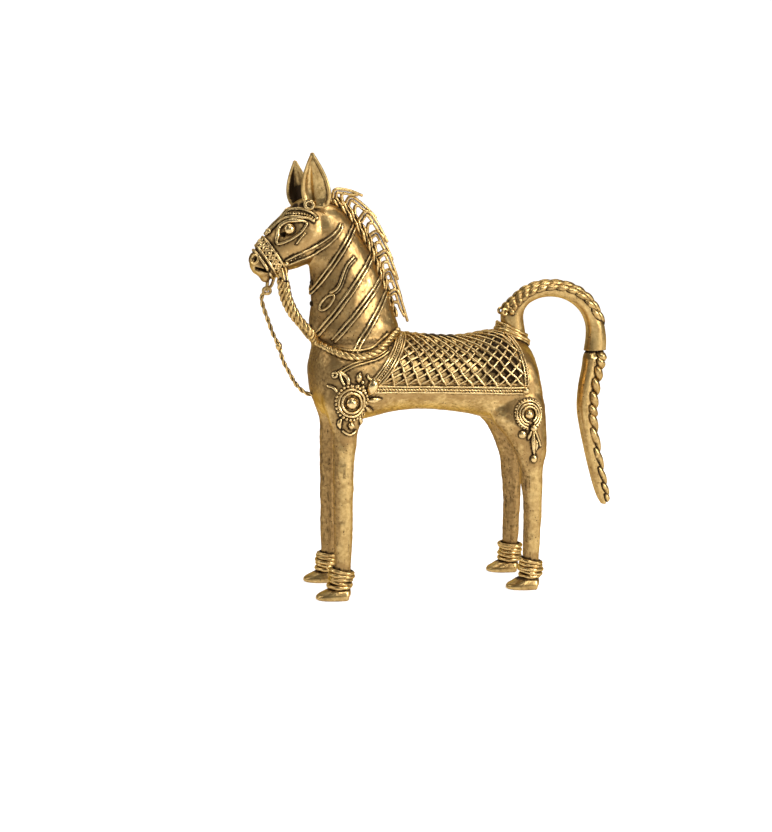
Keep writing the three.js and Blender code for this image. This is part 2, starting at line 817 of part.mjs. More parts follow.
function saddleCloth(extra) {
  const columns = CLOTH_COLUMNS * 2;
  const rows = CLOTH_ROWS * 4;
  const sheets = [[], []];
  for (let r = 0; r <= rows; r++) {
    const share = (2 * r) / rows - 1;
    const seat = Math.abs(share) < SEAT_SHARE;
    for (let c = 0; c <= columns; c++) {
      const down = Math.abs(share);
      const x = THREE.MathUtils.lerp(clothFront(down) - extra, clothRear(down) + extra, c / columns);
      const angle = share * angleAtLevel(x, clothLevel(x) - extra);
      const crossing = (r + c) % 2 === 0 || seat;
      const lift = SEAT + CLOTH_BASE + (crossing ? NET_RELIEF : 0) + extra;
      sheets[0].push(overBody(x, angle, lift).point);
      sheets[1].push(overBody(x, angle, SEAT - extra).point);
    }
  }
  const wide = columns + 1;
  const under = sheets[0].length;
  const index = [];
  for (let r = 0; r < rows; r++) {
    for (let c = 0; c < columns; c++) {
      const a = r * wide + c;
      const b = a + 1;
      const d = a + wide;
      const e = d + 1;
      if ((r + c) % 2 === 0) {
        index.push(a, e, b, a, d, e);
        index.push(under + a, under + b, under + e, under + a, under + e, under + d);
      } else {
        index.push(a, d, b, b, d, e);
        index.push(under + a, under + b, under + d, under + b, under + e, under + d);
      }
    }
  }
  const edge = [];
  for (let c = 0; c < columns; c++) {
    edge.push(c);
  }
  for (let r = 0; r < rows; r++) {
    edge.push(r * wide + columns);
  }
  for (let c = columns; c > 0; c--) {
    edge.push(rows * wide + c);
  }
  for (let r = rows; r > 0; r--) {
    edge.push(r * wide);
  }
  edge.forEach((from, i) => {
    const to = edge[(i + 1) % edge.length];
    index.push(from, to, under + from, to, under + to, under + from);
  });
  const geometry = new THREE.BufferGeometry().setFromPoints(sheets.flat());
  geometry.setIndex(index);
  const shape = solid(geometry);
  if (shape.volume() > 0) {
    return shape;
  }
  geometry.setIndex(index.reverse());
  return solid(geometry);
}

function borderOutline(width, ridges, extra) {
  return ridgedOutline(width, 0, CLOTH_BASE, BORDER_RELIEF, ridges, extra);
}

// Stops down the side of the trunk beside an edge of the cloth, for shares of its way down the side.
function borderStops(edge, offset, from, to, steps) {
  return Array.from({ length: steps + 1 }, (_, i) => {
    const share = THREE.MathUtils.lerp(from, to, i / steps);
    const x = edge(Math.abs(share)) + offset;
    return overBody(x, share * angleAtLevel(x, clothLevel(x)), SEAT);
  });
}

// Over the back from one lower edge of the cloth to the other.
function borderFront(extra) {
  const offset = -FRONT_BORDER / 2 - BORDER_SEAM;
  const stops = borderStops(clothFront, offset, -FRONT_BORDER_FOOT, FRONT_BORDER_FOOT, 18);
  return strap(stops, borderOutline(FRONT_BORDER, [-1, 0, 1], extra));
}

// Down the left side from beside the tail.
function borderRear(extra) {
  const stops = borderStops(clothRear, REAR_BORDER / 2 + BORDER_SEAM, -1, -REAR_BORDER_TOP, 9);
  return strap(stops, borderOutline(REAR_BORDER, [-1, 1], extra));
}

function borderLower(extra) {
  const steps = 12;
  const under = LOWER_BORDER / 2 + BORDER_SEAM;
  const stops = Array.from({ length: steps + 1 }, (_, i) => {
    const x = THREE.MathUtils.lerp(clothFront(1) - LOWER_BORDER, clothRear(1) + REAR_BORDER, i / steps);
    return overBody(x, -angleAtLevel(x, clothLevel(x) - under), SEAT);
  });
  return strap(stops, borderOutline(LOWER_BORDER, [-1, 1], extra));
}

// Rosettes: a domed boss inside raised rings, with leaves or drops round it

function rosetteDisc(place, width, extra) {
  const { point, normal } = leftSkin(place);
  const half = width / 2;
  const top = CLEARANCE + ROSETTE_RELIEF;
  const floor = top * 0.45;
  const profile = [
    [0, -2.5],
    [half + extra, -2.5],
    [half + extra, floor],
    [half * 0.86, top * 0.8 + extra],
    [half * 0.7, floor],
    [half * 0.56, top * 0.85 + extra],
    [half * 0.42, floor],
    [BOSS / 2, top * 0.8 + extra],
    [BOSS / 4, top * 1.15 + extra],
    [0, top * 1.25 + extra],
  ];
  const plain = [profile[0], profile[1], [half + extra, top + extra], [0, top * 1.25 + extra]];
  const outline = (extra > 0 ? plain : profile).map(([r, h]) => new THREE.Vector2(r, h));
  const disc = new THREE.LatheGeometry(outline, 14);
  disc.applyQuaternion(new THREE.Quaternion().setFromUnitVectors(ACROSS, normal));
  disc.translate(point.x, point.y, point.z);
  return solid(disc);
}

function drop([fromX, fromZ], [toX, toZ], width, extra) {
  const path = leftStops([[fromX, fromZ], [(fromX + toX) / 2, (fromZ + toZ) / 2], [toX, toZ]], 3, 0.2);
  const points = path.map(({ point }) => point);
  const radiusAt = (share) => (width / 2) * Math.max(Math.sin(Math.PI * (0.3 + 0.68 * share)), 0.25) + extra;
  return wire(curveThrough(points), radiusAt, 4, 3);
}

const SHOULDER_PLACE = [frontLegX + 3.3, BELLY_HEIGHT + 5.9];
const HIP_PLACE = [hindLegX - 4, BELLY_HEIGHT - 2.2];

// Leaves round the shoulder rosette: [turn from straight up, length, width]
const SHOULDER_LEAVES = [
  [-46, 7, 3.6],
  [-8, 5.2, 3.4],
  [34, 7.4, 3.4],
  [84, 7.2, 3.8],
  [124, 6.2, 3.6],
  [168, 4.6, 3],
  [196, 5, 3.6],
  [226, 4.2, 3.2],
  [292, 6, 3.4],
];

function shoulderRosette(extra) {
  const [x, z] = SHOULDER_PLACE;
  const start = SHOULDER_ROSETTE / 2 - 1.2;
  const leaves = SHOULDER_LEAVES.map(([turn, length, width]) => {
    const angle = THREE.MathUtils.degToRad(turn);
    const spot = (distance) => [x + Math.sin(angle) * distance, z + Math.cos(angle) * distance];
    return drop(spot(start), spot(start + length), width, extra);
  });
  return union([rosetteDisc(SHOULDER_PLACE, SHOULDER_ROSETTE, extra), ...leaves]);
}

function hipRosette(extra) {
  return rosetteDisc(HIP_PLACE, HIP_ROSETTE, extra);
}

// Hip pendant: its knot and the ends of its strands,
// as [behind, below] the lowest point of the hip rosette's rim
const PENDANT_KNOT = [3.1, 1.2];
const PENDANT_DROP = [4.1, 15];
const PENDANT_REAR_DROP = [7.2, 8.4];
const PENDANT_DISC = [-2.2, 2.8];
const PENDANT_KNOT_WIDTH = 3.4;
const PENDANT_DROP_WIDTH = 3.6;
const PENDANT_DISC_WIDTH = 3.8;

function hipPendant(extra) {
  const [x, z] = HIP_PLACE;
  const rim = HIP_ROSETTE / 2 + CLEARANCE;
  const spot = ([back, down]) => [x + back, z - rim - down];
  const strands = [PENDANT_DROP, PENDANT_REAR_DROP, PENDANT_DISC].map((end) =>
    drop(spot(PENDANT_KNOT), spot(end), WIRE * 1.2, extra),
  );
  const beadAt = (place, width, stretch) =>
    ball(leftSkin(spot(place), CLEARANCE).point, width / 2 + extra, stretch);
  return union([
    ...strands,
    beadAt(PENDANT_KNOT, PENDANT_KNOT_WIDTH),
    beadAt(PENDANT_DROP, PENDANT_DROP_WIDTH, [0.8, 0.8, 1.2]),
    beadAt(PENDANT_DISC, PENDANT_DISC_WIDTH, [1, 0.7, 1]),
  ]);
}

// Tail: outer and inner edge of the arch, as [behind, above] its root on the croup
const tailRoot = [rumpX - 14.2, BACK_HEIGHT + 4];
const DOCK_RIBS = [
  [-4.6, -5, 8, -10],
  [-5.6, 4.6, 5.9, 2.4],
  [-4.6, 9.4, 5.8, 6],
  [0.2, 13.8, 6.6, 8.6],
  [6, 18.2, 9.2, 11.2],
  [14, 21, 14.6, 13.3],
  [23.4, 21.2, 21.4, 13.4],
  [32, 18.7, 27.8, 11.3],
  [39.6, 12.7, 33.6, 6.6],
  [44.8, 4, 36.6, 0.2],
  [47.1, -5, 36.9, -6],
  [47.3, -12.2, 36, -12.4],
];
const SWITCH_RIBS = [
  [46, 0, 36.8, 0],
  [47.1, 0.03, 35.8, 0.03],
  [46, 0.1, 35.2, 0.1],
  [44.3, 0.22, 33.5, 0.23],
  [43.3, 0.36, 33, 0.35],
  [43.3, 0.46, 33.9, 0.45],
  [45.4, 0.65, 37.3, 0.65],
  [48.2, 0.83, 40.9, 0.83],
  [50, 0.945, 43.9, 0.945],
  [48.8, 1, 46.4, 1],
];
// Collar hoop: the front and rear end of its middle line, as [behind, above] the tail's root
const COLLAR_HOOPS = [
  [[-8.7, 0.6], [8.6, -8.3]],
  [[-7.4, 2.9], [7.6, -5.2]],
];

function tailSpot(behind, above) {
  const drawnReach = DOCK_RIBS.at(-1)[0];
  const stretch = (TAIL_REACH - TAIL_FOOT) / (drawnReach - TAIL_FOOT);
  const reach = Math.min(behind, TAIL_FOOT) + Math.max(behind - TAIL_FOOT, 0) * stretch;
  return [tailRoot[0] + reach, tailRoot[1] + above];
}

function tailDock(extra) {
  const ribs = DOCK_RIBS.map(([outX, outZ, inX, inZ], i) => ({
    upper: tailSpot(outX, outZ),
    lower: tailSpot(inX, inZ),
    half: (TAIL_WIDTH / 2) * (i === 0 ? 0.8 : 1) + extra,
  }));
  return loft(ribs, 10);
}

function tailSwitch(extra) {
  const top = DOCK_RIBS.at(-1)[3] - CLEARANCE;
  const ribs = SWITCH_RIBS.map(([outX, down, inX, downInner], i) => {
    const ends = i === 0 || i === SWITCH_RIBS.length - 1;
    const taper = 1 - 0.45 * down ** 2;
    return {
      upper: tailSpot(outX, top - down * SWITCH_DROP),
      lower: tailSpot(inX, top - downInner * SWITCH_DROP),
      half: (TAIL_WIDTH / 2) * taper * (ends ? 0.55 : 1) + extra,
    };
  });
  return loft(ribs, 10);
}

function tailCollar(extra) {
  const hoops = COLLAR_HOOPS.map(([[frontX, frontZ], [rearX, rearZ]]) => {
    const reach = Math.hypot(rearX - frontX, rearZ - frontZ) / 2;
    const aside = TAIL_WIDTH / 2 + COLLAR_WIRE / 2 + CLEARANCE;
    const hoop = new THREE.TorusGeometry(reach, COLLAR_WIRE / 2 + extra, 6, 20);
    hoop.scale(1, aside / reach, 1);
    hoop.rotateY(Math.atan2(frontZ - rearZ, rearX - frontX));
    hoop.translate(tailRoot[0] + (frontX + rearX) / 2, 0, tailRoot[1] + (frontZ + rearZ) / 2);
    return solid(hoop);
  });
  return union(hoops);
}

// Anklets and hooves

function anklet(footX, extra) {
  const bore = ANKLE_WIDTH / 2 + 1.4 * CLEARANCE;
  const half = ANKLET_WIDTH / 2 + extra;
  const turn = ANKLET_HEIGHT / ANKLET_TURNS;
  const profile = [new THREE.Vector2(bore, -extra)];
  for (let t = 0; t < ANKLET_TURNS; t++) {
    profile.push(new THREE.Vector2(half - turn / 4, t * turn - (t === 0 ? extra : 0)));
    profile.push(new THREE.Vector2(half, (t + 0.5) * turn));
  }
  profile.push(new THREE.Vector2(half - turn / 4, ANKLET_HEIGHT + extra));
  profile.push(new THREE.Vector2(bore, ANKLET_HEIGHT + extra));
  profile.push(profile[0].clone());
  const coil = new THREE.LatheGeometry(profile, 14);
  coil.rotateX(Math.PI / 2);
  coil.translate(footX, -legY, ankletBase);
  return solid(coil);
}

function hoof(x, toeReach) {
  const ring = (front, back, half, z) => ({
    upper: [x - front, z],
    lower: [x + back, z],
    half,
    y: -legY,
  });
  const half = HOOF_WIDTH / 2;
  const ribs = [
    ring(toeReach - 0.5, HEEL_REACH - 0.3, half - 0.4, 0),
    ring(toeReach, HEEL_REACH, half, HOOF_HEIGHT * 0.2),
    ring((toeReach + HOOF_TOP_TOE) / 2, (HEEL_REACH + HOOF_TOP_HEEL) / 2, half - 0.3, HOOF_HEIGHT * 0.66),
    ring(HOOF_TOP_TOE, HOOF_TOP_HEEL, half - 0.8, HOOF_HEIGHT),
  ];
  return loft(ribs, 12);
}

// The finished pieces

const BRASS = { color: 0xbe965a, roughness: 0.34, metalness: 1 };
const WORN_BRASS = { color: 0xd2ab66, roughness: 0.28, metalness: 1 };
const DARK_BRASS = { color: 0x8f6a35, roughness: 0.45, metalness: 1 };

const figure = new THREE.Group();
const taken = [];

function largest(shape) {
  return shape.decompose().reduce((best, part) => (part.volume() > best.volume() ? part : best));
}

function add(name, shape, look) {
  const mesh = new THREE.Mesh(surface(shape), new THREE.MeshStandardMaterial(look));
  mesh.name = name;
  figure.add(mesh);
}

// Adds a piece that gives way to the bare figure and to the pieces already laid on it.
function lay(name, make, look) {
  const shape = taken.reduce((rest, room) => rest.subtract(room), make(0).subtract(figureAt(CLEARANCE)));
  taken.push(make(CLEARANCE));
  add(name, largest(shape), look);
}

function layPair(name, make, look) {
  for (const [word, side] of Object.entries(SIDES)) {
    lay(`${name}_${word}`, (extra) => onSide(make(extra), side), look);
  }
}

const bodyRoom = swollen(bare[0], CLEARANCE);
const neckRoom = swollen(bare[1], CLEARANCE);

add("body", bare[0], BRASS);
add("neck", largest(bare[1].subtract(bodyRoom)), BRASS);
add("head", largest(bare[2].subtract(neckRoom).add(lowerLip())), BRASS);

for (const [word, side] of Object.entries(SIDES)) {
  const limbs = [
    ["front", frontLeg, frontLegX, FRONT_FOOT_FORWARD, FRONT_TOE_REACH],
    ["hind", hindLeg, hindLegX, HIND_FOOT_FORWARD, HIND_TOE_REACH],
  ];
  for (const [end, limb, x, forward, toeReach] of limbs) {
    const clear = limb.subtract(bodyRoom).subtract(neckRoom);
    add(`leg_${end}_${word}`, onSide(largest(clear), side), BRASS);
    lay(`anklet_${end}_${word}`, (extra) => onSide(anklet(x - forward, extra), side), WORN_BRASS);
    add(`hoof_${end}_${word}`, onSide(hoof(x, toeReach), side), BRASS);
  }
}

add("saddle_cloth", saddleCloth(0), DARK_BRASS);
taken.push(saddleCloth(CLEARANCE));
lay("saddle_border_front", borderFront, WORN_BRASS);
NECK_WRAPS.forEach((place, i) => lay(`neck_wrap_${i + 1}`, (extra) => neckWrap(place, extra), WORN_BRASS));
layPair("neck_leaf", neckLeaf, WORN_BRASS);
lay("noseband", noseband, WORN_BRASS);
lay("muzzle_wire", muzzleWire, WORN_BRASS);
layPair("eye_rim", eyeRim, WORN_BRASS);
layPair("eye", eyeBall, WORN_BRASS);
layPair("brow", brow, WORN_BRASS);
layPair("cheek_strap", cheekStrap, WORN_BRASS);
for (const [word, side] of Object.entries(SIDES)) {
  lay(`ear_${word}`, (extra) => ear(side, extra), BRASS);
}
layPair("saddle_border", borderLower, WORN_BRASS);
layPair("shoulder_rosette", shoulderRosette, WORN_BRASS);
layPair("hip_rosette", hipRosette, WORN_BRASS);
layPair("hip_pendant", hipPendant, WORN_BRASS);
lay("tail_collar", tailCollar, WORN_BRASS);
lay("tail_dock", tailDock, BRASS);
lay("tail_switch", tailSwitch, BRASS);
layPair("saddle_border_rear", borderRear, WORN_BRASS);
lay("crest_band", crestBand, WORN_BRASS);
for (let number = 0; number < MANE_LOCKS.length; number++) {
  lay(`mane_lock_${number + 1}`, (extra) => maneLock(number, extra), WORN_BRASS);
}
layPair("rein", rein, WORN_BRASS);
lay("lead", lead, WORN_BRASS);
lay("ear_curl", earCurl, WORN_BRASS);

// The origin lies on the ground under the middle of the figure's bounding box.
const bounds = new THREE.Box3().setFromObject(figure);
figure.position.set(-(bounds.min.x + bounds.max.x) / 2, -(bounds.min.y + bounds.max.y) / 2, 0);

export default figure;
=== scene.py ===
"""A cast brass horse in village lost-wax style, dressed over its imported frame.

Places are worked out in millimetres and turned into metres as each mesh is made.
"""

import math

import bpy
from mathutils import Matrix, Vector, noise
from mathutils.bvhtree import BVHTree
from mathutils.kdtree import KDTree


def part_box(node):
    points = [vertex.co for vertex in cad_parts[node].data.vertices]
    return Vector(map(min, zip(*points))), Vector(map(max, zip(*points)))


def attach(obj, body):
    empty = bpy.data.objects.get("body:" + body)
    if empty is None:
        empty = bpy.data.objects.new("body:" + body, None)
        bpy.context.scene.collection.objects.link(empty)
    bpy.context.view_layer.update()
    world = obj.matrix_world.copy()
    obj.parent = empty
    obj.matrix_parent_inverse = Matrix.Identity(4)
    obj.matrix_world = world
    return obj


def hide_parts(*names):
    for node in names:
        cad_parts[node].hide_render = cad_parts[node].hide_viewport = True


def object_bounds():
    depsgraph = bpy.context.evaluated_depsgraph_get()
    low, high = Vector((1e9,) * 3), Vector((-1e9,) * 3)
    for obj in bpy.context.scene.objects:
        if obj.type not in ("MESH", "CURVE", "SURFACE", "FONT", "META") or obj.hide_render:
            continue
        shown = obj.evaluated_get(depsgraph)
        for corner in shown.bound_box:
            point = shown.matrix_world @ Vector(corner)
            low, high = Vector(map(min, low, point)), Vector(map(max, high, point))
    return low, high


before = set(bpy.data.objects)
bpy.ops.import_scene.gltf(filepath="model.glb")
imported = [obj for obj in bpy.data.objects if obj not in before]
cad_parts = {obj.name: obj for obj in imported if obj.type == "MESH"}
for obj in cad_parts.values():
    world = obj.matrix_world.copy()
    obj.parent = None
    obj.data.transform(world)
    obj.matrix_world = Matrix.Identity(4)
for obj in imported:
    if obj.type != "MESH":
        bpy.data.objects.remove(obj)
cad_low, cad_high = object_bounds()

MM = 0.001

# Landmarks, in millimetres
CHEST_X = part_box("body")[0].x / MM
RUMP_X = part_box("body")[1].x / MM
BODY_LENGTH = RUMP_X - CHEST_X
BODY_WIDTH = 44.0
BACK = 119.0
BELLY = 86.5
LEG_Y = 17.0
FRONT_LEG_X = CHEST_X + 12.9
HIND_LEG_X = RUMP_X - 8.0
HEAD_LENGTH = 39.3
HEAD_DROP = math.radians(36)
LEFT = -1
RIGHT = 1
SIDES = {"left": LEFT, "right": RIGHT}


def behind(back, up, y=0.0):
    """A place so far behind the chest and over the back."""
    return Vector((CHEST_X + back, y, BACK + up))


def on_head(share, over, y=0.0):
    """A place on the head: a share of its length from the poll, and a distance over its axis."""
    poll = behind(6.7, 55.0, y)
    along = share * HEAD_LENGTH
    return poll + Vector((
        -math.cos(HEAD_DROP) * along - math.sin(HEAD_DROP) * over,
        0.0,
        -math.sin(HEAD_DROP) * along + math.cos(HEAD_DROP) * over,
    ))


def body_line(spots, y=0.0):
    """Places given by their distances behind the chest and over the back."""
    return [behind(*spot, y) for spot in spots]


def head_line(spots):
    return [on_head(*spot) for spot in spots]


BOX_MARGIN = 0.06


def inside_box(place):
    """The place, held between the ends of the CAD box along the horse."""
    low_x = cad_low.x / MM + BOX_MARGIN
    high_x = cad_high.x / MM - BOX_MARGIN
    return Vector((min(max(place.x, low_x), high_x), place.y, place.z))


# Lines and rows of numbers


def mixed(a, b, share):
    return a + (b - a) * share


def eased(low, high, value):
    """0 below low, 1 above high, and a smooth rise between."""
    share = min(max((value - low) / (high - low), 0.0), 1.0)
    return share * share * (3 - 2 * share)


def bend(before, start, end, after, share):
    """One number on a smooth curve from start to end."""
    slope = (end - before) / 2
    leaving = (after - start) / 2
    square = share * share
    cube = square * share
    return (
        (2 * cube - 3 * square + 1) * start
        + (cube - 2 * square + share) * slope
        + (3 * square - 2 * cube) * end
        + (cube - square) * leaving
    )


def flow(rows, per_span):
    """Rows of numbers with smooth rows put in between them."""
    last = len(rows) - 1
    out = []
    for span in range(last):
        quad = [rows[min(max(span + k, 0), last)] for k in (-1, 0, 1, 2)]
        for step in range(per_span):
            out.append([bend(*column, step / per_span) for column in zip(*quad)])
    out.append(list(rows[-1]))
    return out


FINE_STEPS = 12


def spaced(points, step, closed=False):
    """Even stops about one step apart on a smooth line through the points."""
    rows = [tuple(p) for p in points]
    if closed:
        rows = [rows[-1]] + rows + rows[:2]
    fine = [Vector(row) for row in flow(rows, FINE_STEPS)]
    if closed:
        fine = fine[FINE_STEPS:-FINE_STEPS]
    lengths = [0.0]
    for a, b in zip(fine, fine[1:]):
        lengths.append(lengths[-1] + (b - a).length)
    count = max(3, round(lengths[-1] / step))
    stops = []
    at = 0
    for i in range(count if closed else count + 1):
        want = lengths[-1] * i / count
        while at < len(fine) - 2 and lengths[at + 1] < want:
            at += 1
        share = (want - lengths[at]) / max(lengths[at + 1] - lengths[at], 1e-9)
        stops.append(fine[at].lerp(fine[at + 1], min(share, 1.0)))
    return stops


def calmed(line, rounds, closed=False):
    """The line with its small kinks evened out."""
    for _ in range(rounds):
        count = len(line)
        calm = []
        for i, point in enumerate(line):
            if not closed and i in (0, count - 1):
                calm.append(point)
            else:
                calm.append((line[i - 1] + point * 2 + line[(i + 1) % count]) / 4)
        line = calm
    return line


def past(line, i, closed=False):
    """The way from the stop before one to the stop after it, or from itself at an open end."""
    before = line[i - 1] if closed or i > 0 else line[i]
    after = line[(i + 1) % len(line)] if closed or i < len(line) - 1 else line[i]
    return after - before


def carried_frames(line, closed=False):
    """The tangent and two cross directions at each stop, carried along without twisting."""
    tangents = [past(line, i, closed).normalized() for i in range(len(line))]
    seed = Vector((0, 1, 0)) if abs(tangents[0].y) < 0.9 else Vector((1, 0, 0))
    normal = (seed - tangents[0] * seed.dot(tangents[0])).normalized()
    frames = []
    for tangent in tangents:
        normal = (normal - tangent * normal.dot(tangent)).normalized()
        frames.append((tangent, normal, tangent.cross(normal)))
    return frames


def shares(count):
    """Even shares from 0 to 1."""
    return [i / count for i in range(count + 1)]


def circle_turns(count):
    """Even turns round a circle."""
    return [2 * math.pi * i / count for i in range(count)]


# Mesh work

# The blunt end of a wire, as shares of its radius
CAP_REACH = 0.6
CAP_RADIUS = 0.66
# A strand's way off the middle of its rope and its thickness, as shares of the rope's radius
STRAND_OFFSET = 0.46
STRAND_RADIUS = 0.56
STOPS_PER_PITCH = 9


def placed(name, data):
    """A new object of the scene."""
    made = bpy.data.objects.new(name, data)
    bpy.context.scene.collection.objects.link(made)
    return made


class Clay:
    """The points and faces of one piece, in millimetres."""

    def __init__(self):
        self.points = []
        self.faces = []

    def rings(self, rings, joined=False):
        """A skin through rings of one point count, joined end to end or capped."""
        base = len(self.points)
        sides = len(rings[0])
        for ring in rings:
            self.points.extend(ring)
        spans = len(rings) if joined else len(rings) - 1
        for r in range(spans):
            here = base + r * sides
            there = base + ((r + 1) % len(rings)) * sides
            for i in range(sides):
                j = (i + 1) % sides
                self.faces.append((here + i, here + j, there + j, there + i))
        if not joined:
            for ring, start, turn in ((rings[0], base, 1), (rings[-1], base + spans * sides, -1)):
                centre = len(self.points)
                self.points.append(sum(ring, Vector()) / sides)
                for i in range(sides):
                    pair = (start + (i + 1) % sides, start + i)[::turn]
                    self.faces.append((centre, *pair))
        return self

    def tube(self, line, radius, sides=8, closed=False):
        """A round wire with blunt ends; its radius is a number or a function of the share of its length."""
        radius_at = radius if callable(radius) else lambda share: radius
        stances = carried_frames(line, closed)
        last = len(line) - 1
        rings = []
        for i, (centre, stance) in enumerate(zip(line, stances)):
            rings.append(self.circle(centre, stance, radius_at(i / last), sides))
        if not closed:
            for end, sign in ((0, -1), (last, 1)):
                size = radius_at(end / last)
                tip = line[end] + stances[end][0] * sign * size * CAP_REACH
                cap = self.circle(tip, stances[end], size * CAP_RADIUS, sides)
                rings.insert(0 if end == 0 else len(rings), cap)
        return self.rings(rings, joined=closed)

    @staticmethod
    def circle(centre, stance, radius, sides):
        _, normal, cross = stance
        return [centre + (normal * math.cos(a) + cross * math.sin(a)) * radius for a in circle_turns(sides)]

    def rope(self, points, radius, pitch, strands=2, sides=6):
        """Strands twisted round a line, one turn of each in a pitch."""
        line = spaced(points, pitch / STOPS_PER_PITCH)
        stances = carried_frames(line)
        length = sum((b - a).length for a, b in zip(line, line[1:]))
        offset = radius * STRAND_OFFSET
        for strand in range(strands):
            coil = []
            for i, (centre, (_, normal, cross)) in enumerate(zip(line, stances)):
                angle = 2 * math.pi * (length / pitch * i / (len(line) - 1) + strand / strands)
                coil.append(centre + (normal * math.cos(angle) + cross * math.sin(angle)) * offset)
            self.tube(coil, radius * STRAND_RADIUS, sides)
        return self

    def ball(self, centre, radius, stretch=(1, 1, 1), rows=8, sides=12):
        long, wide, high = (share * radius for share in stretch)
        rings = []
        for r in range(rows - 1, 0, -1):
            tilt = math.pi * r / rows
            rings.append([
                centre + Vector((
                    long * math.sin(tilt) * math.cos(turn),
                    wide * math.sin(tilt) * math.sin(turn),
                    high * math.cos(tilt),
                ))
                for turn in circle_turns(sides)
            ])
        self.rings(rings)
        self.points[-2] = centre - Vector((0, 0, high))
        self.points[-1] = centre + Vector((0, 0, high))
        return self

    def beads(self, line, radius, spacing):
        """A row of small balls along a line."""
        for spot in spaced(line, spacing):
            self.ball(spot, radius, rows=5, sides=7)
        return self

    def mesh(self, name):
        mesh = bpy.data.meshes.new(name)
        mesh.from_pydata([tuple(p * MM) for p in self.points], [], self.faces)
        mesh.validate()
        mesh.update()
        mesh.shade_smooth()
        return mesh

    def thing(self, name):
        return placed(name, self.mesh(name))


def oval(upper, lower, half, sides):
    """A ring from an upper edge point to a lower one, with a half width across."""
    middle = (upper + lower) / 2
    reach = upper - middle
    return [middle + reach * math.cos(a) + Vector((0, half * math.sin(a), 0)) for a in circle_turns(sides)]


# The bare horse: trunk, neck, head and legs, joined and smoothed as one skin

# Trunk: [share of length, rise over the back, rise over the belly, share of width]
BODY_RIBS = [
    [0, -11, 15, 0.12],
    [0.018, -3, 5.5, 0.5],
    [0.055, 2, -2, 0.8],
    [0.13, 4.6, -6, 0.96],
    [0.24, 4.6, -4.5, 1],
    [0.36, 2.8, -1.7, 0.98],
    [0.5, 0.6, -1.5, 0.95],
    [0.65, -0.3, -3.6, 0.96],
    [0.78, 1.7, -7, 1],
    [0.84, 0.9, -8, 0.99],
    [0.88, -0.9, -8.6, 0.96],
    [0.92, -3, -8.8, 0.9],
    [0.95, -7.2, -8.2, 0.8],
    [0.975, -15.5, -6.8, 0.62],
    [1, -29, -1.5, 0.26],
]

# Neck: [share of height, front and back edge behind the chest, back edge over front edge, share of width]
NECK_HEIGHT = 63.0
NECK_WIDTH = 27.0
NECK_RIBS = [
    [-0.17, 5, 40, 8, 0.9],
    [0, 0.8, 42.8, 5, 1],
    [0.16, 1, 40.2, 2.5, 0.94],
    [0.3, 1.1, 37.2, 0.5, 0.86],
    [0.43, 1, 33.7, 2, 0.78],
    [0.55, 0.4, 29.7, 3.5, 0.73],
    [0.65, -0.8, 24.7, 6.5, 0.7],
    [0.78, -1.8, 19.2, 6.8, 0.66],
    [0.9, -2.8, 13.7, 4.5, 0.56],
    [1, -0.3, 8.7, 0, 0.3],
]

# Head: [share and height of the upper edge, share and height of the lower edge, share of width]
HEAD_WIDTH = 19.6
HEAD_RIBS = [
    [-0.13, 9, -0.08, 0, 0.3],
    [-0.04, 12.6, 0.1, -10, 0.82],
    [0.15, 14, 0.32, -13, 0.97],
    [0.37, 12.2, 0.5, -11.4, 1],
    [0.55, 11, 0.65, -9.6, 0.9],
    [0.71, 9.2, 0.78, -8.2, 0.78],
    [0.83, 7.9, 0.87, -7.2, 0.7],
    [0.93, 6, 0.93, -6.5, 0.62],
    [0.985, 3.6, 0.97, -4.4, 0.48],
    [1, 1.1, 0.985, -2, 0.24],
]

# Leg: [share of the belly's height, forward of its axis, more half length, more half width, inward]
ANKLE = 3.85
SHANK = 4.2
HIND_LEG_RIBS = [
    [0.428, 0, 0.2, 0.2, 0],
    [0.647, 0.8, 1.2, 0.8, 0],
    [0.751, 1.3, 3.3, 2, 0.6],
    [0.85, 3.4, 5.9, 3.6, 1.8],
    [0.913, 5.7, 8.4, 4.8, 3],
    [0.983, 6.8, 9.4, 5.2, 4],
    [1.064, 6.4, 7.4, 4.8, 5],
    [1.156, 6, 2, 3, 6.4],
]
FRONT_LEG_RIBS = [
    [0.428, 0, 0.4, 0.4, 0],
    [0.694, -0.1, 0.6, 0.6, 0],
    [0.832, -0.7, 1.3, 0.9, 0.2],
    [0.913, -1.3, 2.1, 1.6, 0.6],
    [0.983, -1.5, 4.3, 2.9, 2],
    [1.064, -1.8, 6.6, 4.4, 3.6],
    [1.145, -2, 6, 4.4, 5],
    [1.225, -2.5, 2.4, 2, 6.8],
]
# Where the foot and the top of the anklet stand forward of each leg's axis
FRONT_FOOT = (1.8, 0.5)
HIND_FOOT = (0.8, 0.6)


# The cloth's edges and places over the trunk

CLOTH_OVER_BELLY = 15.4
CLOTH_DROP = 4.7
CLOTH_FRONT = 45.7
CLOTH_FRONT_SLANT = 16.0
CLOTH_REAR = 15.0
CLOTH_REAR_SLANT = 6.8
CLOTH_COLUMNS = 22
CLOTH_ROWS = 12
CLOTH_SINK = 1.0
# A box round the cloth: its lowest level and its ends along the trunk
CLOTH_BOX_LOW = 96
CLOTH_BOX_FRONT = CHEST_X + 28
CLOTH_BOX_REAR = RUMP_X - 13


def cloth_level(x):
    """The height of the cloth's lower edge, which runs down towards the rump."""
    return BELLY + CLOTH_OVER_BELLY - CLOTH_DROP * (x - CHEST_X) / BODY_LENGTH


def cloth_front(down):
    return CHEST_X + CLOTH_FRONT - CLOTH_FRONT_SLANT * down ** 2


def cloth_rear(down):
    return RUMP_X - CLOTH_REAR - CLOTH_REAR_SLANT * (1 - down) ** 2


TRUNK_ROWS = flow(BODY_RIBS, 4)


